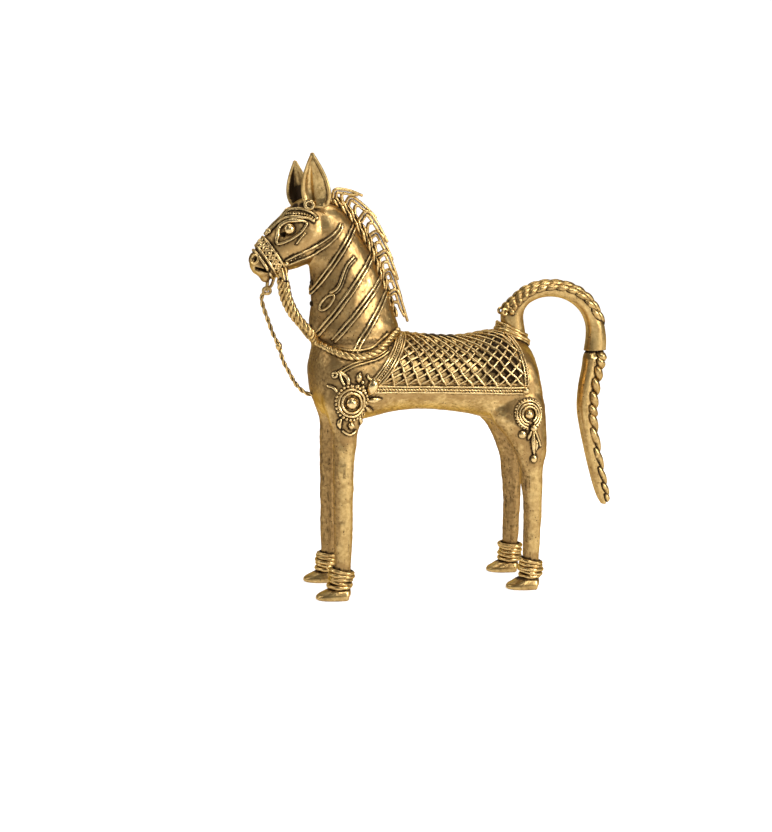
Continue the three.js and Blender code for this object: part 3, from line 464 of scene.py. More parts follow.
def trunk_at(x):
    """Middle height, half height and half width of the trunk at x."""
    share = min(max((x - CHEST_X) / BODY_LENGTH, 0.0), 1.0)
    rows = TRUNK_ROWS
    after = max(1, next((i for i, row in enumerate(rows) if row[0] >= share), len(rows) - 1))
    a, b = rows[after - 1], rows[after]
    way = (share - a[0]) / (b[0] - a[0])
    upper = BACK + mixed(a[1], b[1], way)
    lower = BELLY + mixed(a[2], b[2], way)
    return (upper + lower) / 2, (upper - lower) / 2, mixed(a[3], b[3], way) * BODY_WIDTH / 2


def over_trunk(x, angle, lift):
    """A place over the trunk, from an angle round it and a lift off its skin."""
    middle, high, wide = trunk_at(x)
    normal = Vector((0, math.sin(angle) * high, math.cos(angle) * wide)).normalized()
    return Vector((x, wide * math.sin(angle), middle + high * math.cos(angle))) + normal * lift


def trunk_stop(x, angle):
    """A place on the trunk's plain form and the way out of it."""
    base = over_trunk(x, angle, 0)
    return base, (over_trunk(x, angle, 1) - base).normalized()


def angle_down_to(x, level):
    middle, high, _ = trunk_at(x)
    return math.acos(min(max((level - middle) / high, -1.0), 1.0))


def on_cloth(across, down, lift):
    """A place on the cloth: a share of its length, a share of its side from -1 to 1, and a lift."""
    x = mixed(cloth_front(abs(down)), cloth_rear(abs(down)), across)
    return over_trunk(x, down * angle_down_to(x, cloth_level(x)), lift)


def down_cloth(place):
    """The share of the way down the cloth's side at which a place on it lies."""
    middle, high, wide = trunk_at(place.x)
    angle = abs(math.atan2(place.y / wide, (place.z - middle) / high))
    return angle / angle_down_to(place.x, cloth_level(place.x))


def under_cloth(place):
    """1 well under the cloth, 0 outside it."""
    if place.z < CLOTH_BOX_LOW or not CLOTH_BOX_FRONT < place.x < CLOTH_BOX_REAR:
        return 0.0
    down = down_cloth(place)
    if down >= 1:
        return 0.0
    front = place.x - cloth_front(down)
    rear = cloth_rear(down) - place.x
    return eased(0.0, 1.4, front) * eased(0.0, 1.4, rear) * eased(0.0, 0.05, 1 - down)


def trunk_edges(share, over, under):
    x = CHEST_X + share * BODY_LENGTH
    return Vector((x, 0, BACK + over)), Vector((x, 0, BELLY + under))


def neck_edges(share, front, back, lean):
    up = share * NECK_HEIGHT
    return behind(front, up), behind(back, up + lean)


def head_edges(top, over, low, under):
    return on_head(top, over), on_head(low, under)


def ribbed(ribs, edges_at, width, sides):
    """Oval rings through ribs, whose last number is their share of the width."""
    return [oval(*edges_at(*rib[:-1]), rib[-1] * width / 2, sides) for rib in flow(ribs, 4)]


def leg_rings(ribs, x, foot, side):
    rows = [[3.0, foot[0], ANKLE, ANKLE, 0], [14.6, foot[1], ANKLE, ANKLE, 0]]
    for share, forward, long, wide, inward in ribs:
        rows.append([share * BELLY, forward, SHANK + long, SHANK + wide, inward])
    rings = []
    for height, forward, long, wide, inward in flow(rows, 4):
        centre = Vector((x - forward, side * (LEG_Y - inward), height))
        ring = (Vector((long * math.cos(a), wide * math.sin(a), 0)) for a in circle_turns(24))
        rings.append([centre + spot for spot in ring])
    return rings


# The skin's grain, how often it is smoothed all over and again at the joints of neck, legs and trunk,
# and the heights between which those joints soften
SKIN_VOXEL = 0.5
SKIN_ROUNDS = 8
JOINT_ROUNDS = 45
JOINTS_FROM = (70, 76)
JOINTS_TO = (124, 130)


def smoothed(thing, rounds, group=""):
    """The thing's mesh with its modifiers and a smoothing applied; the thing itself goes."""
    smooth = thing.modifiers.new("smooth", "SMOOTH")
    smooth.factor = 0.6
    smooth.iterations = rounds
    smooth.vertex_group = group
    graph = bpy.context.evaluated_depsgraph_get()
    mesh = bpy.data.meshes.new_from_object(thing.evaluated_get(graph))
    bpy.data.objects.remove(thing)
    return mesh


def bare_horse():
    """The trunk, neck, head, lips and legs fused into one closed skin."""
    clay = Clay()
    clay.rings(ribbed(BODY_RIBS, trunk_edges, BODY_WIDTH, 48))
    clay.rings(ribbed(NECK_RIBS, neck_edges, NECK_WIDTH, 36))
    clay.rings(ribbed(HEAD_RIBS, head_edges, HEAD_WIDTH, 36))
    for side in SIDES.values():
        clay.rings(leg_rings(FRONT_LEG_RIBS, FRONT_LEG_X, FRONT_FOOT, side))
        clay.rings(leg_rings(HIND_LEG_RIBS, HIND_LEG_X, HIND_FOOT, side))
    clay.ball(on_head(0.93, -5.6), 2.4, (1.1, 1.7, 1))
    clay.ball(on_head(0.914, 1.6), 4.4, (0.74, 1.25, 0.97))
    whole = clay.thing("casting")
    fuse = whole.modifiers.new("fuse", "REMESH")
    fuse.mode = "VOXEL"
    fuse.voxel_size = SKIN_VOXEL * MM
    joints = placed("joints", smoothed(whole, SKIN_ROUNDS))
    group = joints.vertex_groups.new(name="joints")
    for vertex in joints.data.vertices:
        height = vertex.co.z / MM
        weight = eased(*JOINTS_FROM, height) * (1 - eased(*JOINTS_TO, height))
        if weight > 0:
            group.add([vertex.index], weight, "REPLACE")
    return smoothed(joints, JOINT_ROUNDS, "joints")


# The middle of a nostril: share of the head's length, over its axis
NOSTRIL = (0.905, 4.8)
# Marks in the head: [share of its length, over its axis, radius, depth], raised where the depth is below 0
HEAD_MARKS = [
    [*NOSTRIL, 3.3, -0.5],
    [*NOSTRIL, 2.1, 3.2],
    [0.48, 6.6, 1.8, 2.0],
    [0.39, 6.4, 5.0, 0.8],
    [0.2, -3.0, 6.0, -0.6],
    [0.1, 11.6, 2.6, 1.0],
    [0.17, 13.2, 2.8, 0.9],
]
# Marks deeper than this get painted shade inside
DARK_DEPTH = 0.8

# The slit of the mouth, from the lips' front to their corner
MOUTH = [(0.975, 1.4), (0.945, 0.2), (0.915, -1.4), (0.885, -2.8), (0.865, -3.4)]
MOUTH_RADIUS = 1.1
MOUTH_DEPTH = 1.5


def head_marks(bare):
    """The marks on both sides of the head: their places on the bare skin, radius and depth."""
    spots = [(on_head(share, over), radius, depth) for share, over, radius, depth in HEAD_MARKS]
    spots += [(place, MOUTH_RADIUS, MOUTH_DEPTH) for place in spaced(head_line(MOUTH), 0.5)]
    return [
        (bare.on_side(place, side)[0], radius, depth)
        for place, radius, depth in spots
        for side in SIDES.values()
    ]


def wax_dip(place):
    """How far worked wax dips in at a place, most on the neck."""
    neck = eased(121, 128, place.z) * (1 - eased(150, 162, place.z))
    return -(0.36 + 0.42 * neck) * noise.noise(place * 0.13) - 0.13 * noise.noise(place * 0.45)


def hand_worked(mesh, marks):
    """Works the skin like wax, with its marks, and tells how deep in a mark each point lies, as painted
    shade.
    """
    normals = [v.normal.copy() for v in mesh.vertices]
    dent_shades = []
    for vertex, normal in zip(mesh.vertices, normals):
        place = vertex.co / MM
        dent_shade = 0.0
        inward = wax_dip(place)
        for centre, radius, depth in marks:
            distance = (place - centre).length / radius
            if distance < 1:
                inward += depth * (1 - distance * distance) ** 2
                if depth > DARK_DEPTH:
                    dent_shade = max(dent_shade, min(depth, 1.0) * (1 - eased(0.5, 0.95, distance)))
        inward += CLOTH_SINK * under_cloth(place)
        vertex.co = inside_box(place - normal * inward) * MM
        dent_shades.append(dent_shade)
    mesh.update()
    return dent_shades


class Skin:
    """The finished skin, asked where ornament lies on it."""

    def __init__(self, mesh):
        corners = [v.co / MM for v in mesh.vertices]
        self.tree = BVHTree.FromPolygons(corners, [tuple(p.vertices) for p in mesh.polygons])

    def on_side(self, place, side):
        """Where a line across the horse meets one side, and the skin's normal there."""
        start = Vector((place.x, side * BODY_WIDTH * 2, place.z))
        spot, normal, _, _ = self.tree.ray_cast(start, Vector((0, -side, 0)))
        if spot is None:
            spot, normal, _, _ = self.tree.find_nearest(Vector((place.x, side * 3, place.z)))
        return spot, normal

    def outward(self, centre, direction):
        return self.tree.ray_cast(centre, direction)[:2]

    def nearest(self, place):
        spot, normal, _, distance = self.tree.find_nearest(place)
        return spot, normal, distance


class Track:
    """A line laid on the skin, with the skin's normal at each stop."""

    def __init__(self, stops, closed=False):
        self.stops = stops
        self.closed = closed

    def beside(self, across=0.0, lift=0.0, rounds=2):
        """The line moved sideways over the skin and lifted off it."""
        line = []
        places = [point for point, _ in self.stops]
        for i, (point, normal) in enumerate(self.stops):
            aside = past(places, i, self.closed).cross(normal).normalized()
            spot, facing, _ = skin.nearest(point + aside * across)
            line.append(spot + facing * lift)
        return calmed(line, rounds, self.closed)

    def zigzag(self, reach, lift, period, start=0.0):
        """A line that swings from one side of the track to the other."""
        line = []
        run = start * period
        for i, (point, normal) in enumerate(self.stops):
            after = self.stops[(i + 1) % len(self.stops)][0]
            aside = (after - point).cross(normal).normalized()
            swing = 2 * abs(2 * ((run / period) % 1) - 1) - 1
            spot, facing, _ = skin.nearest(point + aside * swing * reach)
            line.append(spot + facing * lift)
            run += (after - point).length
        return line


def side_track(places, side, step=0.8, closed=False):
    """A track along one side, through places given in the middle plane."""
    return Track([skin.on_side(place, side) for place in spaced(places, step, closed)], closed)


def head_track(spots, side, step=0.6, closed=False):
    return side_track(head_line(spots), side, step, closed)


def ring_track(top, bottom, step=0.8):
    """A closed track round the figure in a plane across it, through two places of its middle plane."""
    centre = (top + bottom) / 2
    up = (top - bottom).normalized()
    count = int(math.pi * (top - bottom).length / step)
    stops = []
    for angle in circle_turns(count):
        stops.append(skin.outward(centre, up * math.cos(angle) + Vector((0, math.sin(angle), 0))))
    return Track(stops, closed=True)


def disc_track(centre, normal, radius, step=0.8, start=0.0, end=2 * math.pi, on=None):
    """A ring, or a part of one, laid on a skin round a place."""
    u = Vector((0, 0, 1)) - normal * normal.z
    u.normalize()
    v = normal.cross(u)
    count = max(8, int(radius * (end - start) / step))
    whole = end - start > 2 * math.pi - 0.01
    stops = []
    for i in range(count if whole else count + 1):
        angle = start + (end - start) * i / count
        out = u * math.cos(angle) + v * math.sin(angle)
        stops.append((on or skin).nearest(centre + out * radius)[:2])
    return Track(stops, closed=whole)


# Brass


class Value:
    """A shader output that can be added, scaled and taken from like a number."""

    def __init__(self, shader, socket):
        self.shader = shader
        self.socket = socket

    def maths(self, operation, first, second, clamp=False):
        settings = {"operation": operation, "use_clamp": clamp}
        return self.shader.node("ShaderNodeMath", settings, {0: first, 1: second})

    def __add__(self, other):
        return self.maths("ADD", self, other)

    __radd__ = __add__

    def __mul__(self, other):
        return self.maths("MULTIPLY", self, other)

    __rmul__ = __mul__

    def __sub__(self, other):
        return self.maths("SUBTRACT", self, other)

    def __rsub__(self, other):
        return self.maths("SUBTRACT", other, self)

    def held(self):
        """The value held between 0 and 1."""
        return self.maths("ADD", self, 0.0, clamp=True)


class Shader:
    """The nodes of one material or world."""

    def __init__(self, owner):
        owner.use_nodes = True
        self.tree = owner.node_tree
        self.tree.nodes.clear()

    def node(self, kind, settings=None, sockets=None, output=0):
        """A node with its settings, and the values or links of its sockets."""
        made = self.tree.nodes.new(kind)
        for name, value in (settings or {}).items():
            setattr(made, name, value)
        for name, value in (sockets or {}).items():
            if isinstance(value, Value):
                self.tree.links.new(value.socket, made.inputs[name])
            else:
                made.inputs[name].default_value = value
        return Value(self, made.outputs[output]) if made.outputs else None

    def place(self):
        return self.node("ShaderNodeTexCoord", output="Object")

    def noise(self, size, detail, roughness=0.55, stretch=(1, 1, 1)):
        """Noise of a feature size in millimetres, from 0 to 1."""
        scaled = self.node("ShaderNodeMapping", {}, {"Vector": self.place(), "Scale": stretch})
        sockets = {"Vector": scaled, "Scale": 1000.0 / size, "Detail": detail, "Roughness": roughness}
        return self.node("ShaderNodeTexNoise", {}, sockets)

    def cells(self, size):
        sockets = {"Vector": self.place(), "Scale": 1000.0 / size}
        return self.node("ShaderNodeTexVoronoi", {"feature": "F1"}, sockets)

    def blend(self, share, first, second):
        sockets = {0: share, 6: first, 7: second}
        return self.node("ShaderNodeMix", {"data_type": "RGBA"}, sockets, output=2)

    def between(self, value, low, high):
        """The value's way from low to high, held between 0 and 1."""
        sockets = {"Value": value, "From Min": low, "From Max": high}
        return self.node("ShaderNodeMapRange", {"clamp": True}, sockets)


BRIGHT_BRASS = (0.68, 0.475, 0.20, 1)
WARM_BRASS = (0.48, 0.31, 0.11, 1)
# Paler brass for the wires: partly rubbed wear, partly painted sheen in place of the highlights that wires
# catch.
RUBBED_SHEEN_BRASS = (0.76, 0.56, 0.275, 1)
WORN_SHEEN_BRASS = (0.54, 0.37, 0.15, 1)
# A darker copy of the brass for legs, tail and hooves: painted shade against the bright floor's light on
# them.
LEG_SHADED_BRASS = (0.55, 0.375, 0.15, 1)
LEG_SHADED_BROWN = (0.39, 0.25, 0.088, 1)
TARNISH_AND_SHADE = (0.25, 0.14, 0.05, 1)
PATINA_AND_SHADE = (0.026, 0.014, 0.006, 1)
EDGE_BRASS = (0.5, 0.36, 0.2, 1)


def cast_brass(name, brightness, shade_and_dirt, pitting, rough, streaking=0.0, metals=(BRIGHT_BRASS, WARM_BRASS)):
    """Cast brass: bright where it is rubbed, tarnished in patches, darkened by patina and painted shade in
    its hollows, and pitted.
    """
    material = bpy.data.materials.new(name)
    shader = Shader(material)
    # The hollow mark is painted shade: beside and under ornament, between strands, in recesses, and the
    # net's painted shadows.
    hollow = shader.node("ShaderNodeAttribute", {"attribute_name": "hollow"}, output="Fac")
    # The stain mark holds real brown stains and also painted shade on the legs' inner and forward sides.
    stain = shader.node("ShaderNodeAttribute", {"attribute_name": "stain"}, output="Fac")
    patches = shader.noise(7.0, 4.0, 0.6)
    mottle = shader.noise(1.5, 3.0, 0.6)
    grain = shader.noise(0.34, 2.0, 0.5)
    pits = 1 - shader.between(shader.cells(1.25), 0.10, 0.26)
    pits = pits * shader.between(shader.noise(3.2, 2.0), 0.52, 0.66) * pitting
    # Tarnish here also carries the painted shade of both marks.
    tarnish_and_shade = shader.between(patches + mottle * 0.5 + hollow * 0.35 + stain * 0.4, 0.70, 1.05)
    streaks = shader.between(shader.noise(1.1, 3.0, 0.6, (1, 1, 0.1)), 0.58, 0.74) * streaking
    # Dark patina in pits and streaks, with painted shade from the hollow mark; the third argument sets how
    # strong it is.
    dark = shader.between(hollow + mottle * 0.9 - 0.45 + pits + streaks, 0.18 / shade_and_dirt, 0.78 / shade_and_dirt)
    metal = shader.blend(shader.between(mottle + patches * 0.4, 0.45, 0.9), *metals)
    metal = shader.blend(tarnish_and_shade * (1 - brightness), metal, TARNISH_AND_SHADE)
    colour = shader.blend(dark, metal, PATINA_AND_SHADE)
    roughness = (rough + tarnish_and_shade * 0.12 + dark * 0.22 + grain * 0.06).held()
    height = mottle * 0.5 + grain * 0.16 - pits * 1.2 - dark * 0.25
    bump = shader.node("ShaderNodeBump", {}, {"Strength": 0.75, "Distance": 0.00022, "Height": height})
    surface = shader.node("ShaderNodeBsdfPrincipled", {}, {
        "Base Color": colour,
        "Metallic": 1 - dark * 0.45,
        "Roughness": roughness,
        "Specular Tint": EDGE_BRASS,
        "Normal": bump,
    })
    shader.node("ShaderNodeOutputMaterial", {}, {"Surface": surface})
    return material


# The wires' paler brass, partly painted sheen.
WIRE_SHEEN_METALS = (RUBBED_SHEEN_BRASS, WORN_SHEEN_BRASS)
# Each finish: its brass and the record's slot for it
FINISHES = {
    "skin": (cast_brass("skin_brass", 0.35, 1.0, 1.0, 0.25), "brass"),
    "wire": (cast_brass("wire_brass", 0.75, 1.15, 0.3, 0.22, metals=WIRE_SHEEN_METALS), "worn_brass"),
    "cord": (cast_brass("cord_brass", 0.4, 1.2, 0.5, 0.24), "worn_brass"),
    "floor": (cast_brass("net_floor_brass", 0.35, 1.4, 0.5, 0.3), "dark_brass"),
    # Legs, tail and hooves take the darker copy of the brass: painted shade.
    "limb": (cast_brass("shaded_limb_brass", 0.3, 1.0, 1.3, 0.27, 0.6, (LEG_SHADED_BRASS, LEG_SHADED_BROWN)), "brass"),
}

# Where ornament lies on the skin, for the painted shade beside it: (place, reach)
contacts = []


def written(mesh, name, values):
    """Gives each point of the mesh a number that the brass reads."""
    layer = mesh.attributes.new(name, "FLOAT", "POINT")
    layer.data.foreach_set("value", values)


def near(surface, reach):
    """Painted shade on the parts of a piece that lie close to a surface."""
    return lambda place: 1 - eased(0.0, reach, surface.nearest(place)[2])


def lookup_of(points):
    """A search for the nearest of the points."""
    lookup = KDTree(len(points))
    for i, point in enumerate(points):
        lookup.insert(point, i)
    lookup.balance()
    return lookup


def distance_to(points):
    """How far a place lies from the nearest of the points."""
    lookup = lookup_of(points)
    return lambda place: lookup.find(place)[2]


def in_grooves(lines, radius, other=lambda place: 0.0):
    """Painted shade deep between the strands twisted round some lines, and wherever another rule puts it.
    """
    away = distance_to([p for line in lines for p in line])

    def depth_at(place):
        return max(1 - eased(0.5 * radius, 0.86 * radius, away(place)), other(place))
    return depth_at


def finished(thing, finish, node="", depth_at=None):
    """Gives a piece its painted shade, brass and body, and lets it stand for its CAD node."""
    if depth_at:
        written(thing.data, "hollow", [depth_at(v.co / MM) for v in thing.data.vertices])
    brass, slot = FINISHES[finish]
    thing.data.materials.append(brass)
    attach(thing, "root")
    if node:
        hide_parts(node)


def marked(clay, name, node, shades, finish="limb"):
    """A finished piece whose painted shade is given point by point, with none on its last points."""
    shades = shades + [0.0] * (len(clay.points) - len(shades))
    lookup = lookup_of(clay.points)
    finished(clay.thing(name), finish, node, lambda place: shades[lookup.find(place)[1]])


def ornament(name, clay, node, finish="wire", shade_and_dirt=0.9):
    """A finished piece that lies on the skin; its painted shade is a reach from the skin or a rule of its
    own.
    """
    contacts.extend((point, 1.0) for point in clay.points[::3])
    finished(clay.thing(name), finish, node, shade_and_dirt if callable(shade_and_dirt) else near(skin, shade_and_dirt))


def on_both_sides(name, shape, node, shade_and_dirt=0.9):
    """An ornament on each side of the horse, shaped by a function of the side."""
    for word, side in SIDES.items():
        ornament(f"{name}_{word}", shape(side), f"{node}_{word}", shade_and_dirt=shade_and_dirt)


skin_mesh = bare_horse()
bare = Skin(skin_mesh)
dent_shades = hand_worked(skin_mesh, head_marks(bare))
skin = Skin(skin_mesh)

# Harness on the neck and head


def uneven(radius, seed):
    """A wire's radius that swells and thins a little along it."""
    return lambda share: radius * (1 + 0.12 * math.sin(share * 37 + seed * 5))


# Wraps: where each crosses the crest and the throat, as (behind the chest, over the back)
NECK_WRAPS = [
    [(21, 52), (2.2, 23.5)],
    [(27.2, 35.6), (5, 5.5)],
    [(30.8, 25), (13.8, 5.2)],
    [(33.4, 17.8), (20.6, -1.4)],
]


def over_collar(place):
    """Whether a place lies above the line of the reins round the foot of the neck."""
    back = place.x - CHEST_X
    return place.z - BACK > mixed(2.4, -7.2, min(max(back, 0), 20) / 20) + eased(24, 44, back) * 8


# A stretch of wire with fewer stops is left out
SHORTEST_RUN = 4


def open_runs(line, keep):
    """The stretches of a closed line whose stops are kept."""
    marks = [keep(p) for p in line]
    if all(marks):
        return [line]
    start = marks.index(False)
    runs = [[]]
    for point in line[start:] + line[:start]:
        if keep(point):
            runs[-1].append(point)
        else:
            runs.append([])
    return [run for run in runs if len(run) >= SHORTEST_RUN]


def neck_wraps():
    """Pairs of wires wound slantwise round the neck."""
    for number, (crest, front) in enumerate(NECK_WRAPS, 1):
        track = ring_track(behind(*crest), behind(*front))
        clay = Clay()
        for across in (-0.95, 0.95):
            line = track.beside(across, 0.4)
            for run in open_runs(line, over_collar):
                clay.tube(run, uneven(0.54, number + across), closed=len(run) == len(line))
        ornament(f"wrap_wires_{number}", clay, f"neck_wrap_{number}")


LEAF_STEM = [(19.8, 38.5), (16.8, 35.6), (15, 32.2), (13.2, 27), (11.4, 24.1), (9, 22.6)]
LEAF_LOOP = [(10.4, 21.8), (7.2, 20.6), (4.4, 16.4), (4.8, 14.4), (7.8, 15.8), (10.2, 19.4)]


def neck_leaf(side):
    """A curved stem on the neck that ends in a drop-shaped loop."""
    stem = side_track(body_line(LEAF_STEM), side, 0.6)
    clay = Clay().tube(stem.beside(0, 0.35), lambda share: 0.62 * (0.8 + 0.3 * share))
    clay.tube(stem.beside(1.3 * side, 0.1), 0.42)
    loop = side_track(body_line(LEAF_LOOP), side, 0.5, closed=True)
    return clay.tube(loop.beside(0, 0.35, 3), 0.58, closed=True)


THROAT_KNOBS = (26.7, 17.1)


def throat_knobs():
    """Two small knobs of wax left on the throat."""
    clay = Clay()
    for up in THROAT_KNOBS:
        spot, normal = skin.outward(behind(16, up, -2), Vector((-1, 0, 0)))
        clay.ball(spot, 1.2, (0.9, 1.1, 1.2))
    finished(clay.thing("throat_knobs"), "skin", depth_at=lambda place: 0.8)


def noseband():
    """A broad band round the nose: crossing zigzag wires with dots, between two wires."""
    track = ring_track(on_head(0.725, 10.4), on_head(0.745, -8), 0.4)
    clay = Clay()
    for across in (-2.45, 2.45):
        clay.tube(track.beside(across, 0.5), uneven(0.6, across), closed=True)
    for start in (0.0, 0.5):
        clay.tube(track.zigzag(1.8, 0.45, 5.0, start), uneven(0.5, start), 7, closed=True)
    clay.beads(track.beside(0, 0.6), 0.72, 2.5)
    ornament("noseband_wires", clay, "noseband", shade_and_dirt=0.55)


def muzzle_wire():
    track = ring_track(on_head(0.84, 8.6), on_head(0.865, -7), 0.6)
    ornament("muzzle_ring", Clay().tube(track.beside(0, 0.45), 0.62, closed=True), "muzzle_wire")


def nostrils():
    """A rolled rim round each nostril."""
    for word, side in SIDES.items():
        spot, normal = bare.on_side(on_head(*NOSTRIL), side)
        rim = disc_track(spot, normal, 2.1, 0.4, on=bare).stops
        clay = Clay().tube([place + normal * 0.05 for place, _ in rim], 0.66, closed=True)
        clay.points = [inside_box(point) for point in clay.points]
        finished(clay.thing(f"nostril_rim_{word}"), "skin", depth_at=near(skin, 0.5))


# Lines on the head, as (share of its length, over its axis)
CHEEK_UPPER = [
    (0.63, -3.6), (0.5, -4.4), (0.38, -5.6), (0.25, -6.5), (0.11, -7), (-0.03, -6.7), (-0.12, -5.4),
]
CHEEK_LOWER = [
    (0.63, -6), (0.49, -7.4), (0.35, -9), (0.19, -9.6), (0.04, -9.1), (-0.06, -8.2), (-0.14, -6.4),
]
CHEEK_KNOB = (0.645, -4.8)
CHEEK_DOTS = [(0.58, -4.9), (0.5, -5.8), (0.43, -6.6)]
BROW_UPPER = [(0.58, 11), (0.45, 12), (0.29, 13.2), (0.23, 12.6), (0.14, 10.4), (0.07, 6.7), (0.06, 3.4)]
BROW_LOWER = [(0.62, 9.8), (0.5, 10.8), (0.4, 11.1), (0.3, 10.6), (0.2, 7.6), (0.13, 5.2), (0.11, 3.2)]
BROW_DOTS = [(0.5, 11.6), (0.32, 12.2), (0.23, 10.4), (0.15, 8), (0.1, 5.2), (0.09, 3.6)]
BROW_ENDS = [(BROW_UPPER[0], 1.1), (BROW_UPPER[-1], 0.85), (BROW_LOWER[-1], 0.8)]
EYE_RIM = [
    (0.6, 4.6), (0.53, 7.4), (0.45, 9.6), (0.36, 9.6), (0.28, 8.2), (0.18, 4.6),
    (0.25, 3.2), (0.33, 2.5), (0.46, 2.8),
]
EYE_CENTRE = (0.385, 6.6)
EYE_FOLD = [(0.42, -0.2), (0.34, 0.9), (0.27, 1.2)]


def ball_on(clay, surface, spot, side, lift, radius, **form):
    """A ball on one side of the head."""
    place, normal = surface.on_side(on_head(*spot), side)
    return clay.ball(place + normal * lift, radius, **form)


def cheek_strap(side):
    """Two thin wires from the noseband back over the cheek, with dots between their front ends."""
    clay = Clay()
    for spots in (CHEEK_UPPER, CHEEK_LOWER):
        clay.tube(head_track(spots, side).beside(0, 0.42), uneven(0.52, len(spots)))
    clay.beads(head_track(CHEEK_DOTS, side).beside(0, 0.25), 0.42, 1.9)
    return ball_on(clay, skin, CHEEK_KNOB, side, 0.5, 1.25)


def brow(side):
    """Two plain wires over the eye with a row of dots between them."""
    clay = Clay()
    clay.tube(head_track(BROW_UPPER, side).beside(0, 0.5, 3), 0.6)
    clay.tube(head_track(BROW_LOWER, side).beside(0, 0.55, 3), 0.72)
    clay.beads(head_track(BROW_DOTS, side).beside(0, 0.5, 3), 0.56, 1.25)
    for spot, radius in BROW_ENDS:
        ball_on(clay, skin, spot, side, 0.4, radius)
    return clay


def eyes():
    """A thick almond rim, heavier above, round a ball, with a fold under its rear corner."""
    def lid(share):
        return 0.56 + 0.46 * eased(0.0, 0.12, share) * (1 - eased(0.38, 0.52, share))

    for word, side in SIDES.items():
        rim = head_track(EYE_RIM, side, 0.5, closed=True).beside(0, 0.5, 3)
        clay = Clay().tube(rim, lid, closed=True)
        clay.tube(head_track(EYE_FOLD, side).beside(0, 0.3), 0.45)
        ornament(f"eye_lids_{word}", clay, f"eye_rim_{word}", shade_and_dirt=0.7)
        ball = ball_on(Clay(), bare, EYE_CENTRE, side, 0.1, 2.5, stretch=(1, 0.75, 1), rows=12, sides=18)
        ornament(f"eye_ball_{word}", ball, f"eye_{word}", shade_and_dirt=0.6)


# Ears


def ear_swell(share):
    return math.sin(math.pi * (0.12 + 0.88 * share ** 0.72)) ** 0.9


EAR_WIDTH = 14.4
EAR_DEPTH = 6.4
EAR_WALL = 1.5
EAR_ROWS = 36
EAR_STEPS = 22
# The rows of an ear beside which painted shade falls on the head, and how far it reaches
EAR_FOOT_ROWS = 4
EAR_FOOT_SHADE = 1.6
# Each ear's length, how far forward it stands, its turn from straight ahead and how much painted shade lies
# on its floor
EARS = {
    "left": (24.8, 0.0, math.radians(52), 0.15),
    "right": (21.0, 5.0, math.radians(-35), 0.95),
}


def ear_rings(length, floor_shade):
    """The rings of a hollow leaf that opens to -X, and the painted shade on each of its points."""
    rings = []
    shades = []
    for share in shares(EAR_ROWS):
        swell = max(ear_swell(share), 0.05)
        half = EAR_WIDTH / 2 * swell
        deep = EAR_DEPTH / 2 * swell
        front = -0.42 * deep
        scoop = eased(0.02, 0.16, share) * (1 - eased(0.86, 0.98, share))
        hollow = max(1.35 * deep - EAR_WALL, 0.0) * scoop
        inner = max(half - EAR_WALL * 0.75, half * 0.3)
        ring = []
        for i in range(EAR_STEPS + 1):
            angle = math.pi * i / EAR_STEPS
            ring.append(Vector((deep * (math.sin(angle) - 0.35), half * math.cos(angle), length * share)))
            shades.append(0.0)
        for step in shares(EAR_STEPS):
            out = math.cos(math.pi * (1 - step))
            away = abs(out)
            drop = (1 - eased(0.7, 1.0, away)) * (0.6 + 0.4 * eased(0.2, 0.6, away))
            ring.append(Vector((front + hollow * drop, inner * out, length * share)))
            # Painted shade in the groove inside the rim, heavier on one side, and over the lower floor.
            groove = eased(0.5, 0.75, away) * (1 - eased(0.9, 1.0, away)) * (0.9 if out < 0 else 0.25)
            low = floor_shade * (1 - eased(0.9, 1.0, away)) * (1 - eased(0.4, 0.62, share))
            shades.append(scoop * max(groove, low, floor_shade * 0.3))
        rings.append(ring)
    return rings, shades


def ears():
    """Pointed leaves with a thick rolled rim round a deep hollow."""
    for word, side in SIDES.items():
        length, forward, turn, floor_shade = EARS[word]
        rings, shades = ear_rings(length, floor_shade)
        clay = Clay().rings(rings)
        edge = [ring[0] for ring in rings[2:]] + [ring[EAR_STEPS] for ring in reversed(rings[2:])]
        clay.tube(spaced([Vector((p.x * 0.8, p.y * 0.93, p.z * 0.985)) for p in edge], 0.5), 0.82)
        pose = (
            Matrix.Rotation(math.radians(-7.5), 3, "Y")
            @ Matrix.Rotation(math.radians(4), 3, "X")
            @ Matrix.Rotation(turn, 3, "Z")
        )
        root = on_head(-0.03, 6.2, -8.5) - Vector((forward, 0, 0))
        points = [root + pose @ p for p in clay.points]
        if side == RIGHT:
            points = [Vector((p.x, -p.y, p.z)) for p in points]
            clay.faces = [face[::-1] for face in clay.faces]
        clay.points = points
        marked(clay, f"ear_cup_{word}", f"ear_{word}", shades, "skin")
        foot = clay.points[: EAR_FOOT_ROWS * len(rings[0])]
        contacts.extend((point, EAR_FOOT_SHADE) for point in foot)


def small_loop(centre, radius, sweep, angles):
    """A little closed ring that leans across by a share of its radius."""
    ring = [centre + Vector((math.cos(a), sweep * math.cos(a), math.sin(a))) * radius for a in angles]
    return spaced(ring, 0.4, closed=True)


def ear_curl():
    """The eyelet at the foot of the left ear."""
    spot, _ = skin.on_side(on_head(0.05, 9.8), LEFT)
    centre = spot + Vector((0.4, -1.5, 0.5))
    clay = Clay().tube(small_loop(centre, 1.8, -0.25, (0, 1, 2, 3, 4, 5.2)), 0.85, 10, closed=True)
    away = distance_to([centre])
    # Painted shade in the eyelet's hole.
    ornament("ear_eyelet", clay, "ear_curl", shade_and_dirt=lambda place: 1 - eased(1.0, 1.35, away(place)))


# Crest and mane

CREST_LINE = [
    (12.1, 63.8), (17.7, 58.8), (22.3, 52.8), (27, 46),
    (30.9, 37.5), (33.8, 28.8), (36.6, 19), (39.8, 9.6),
]


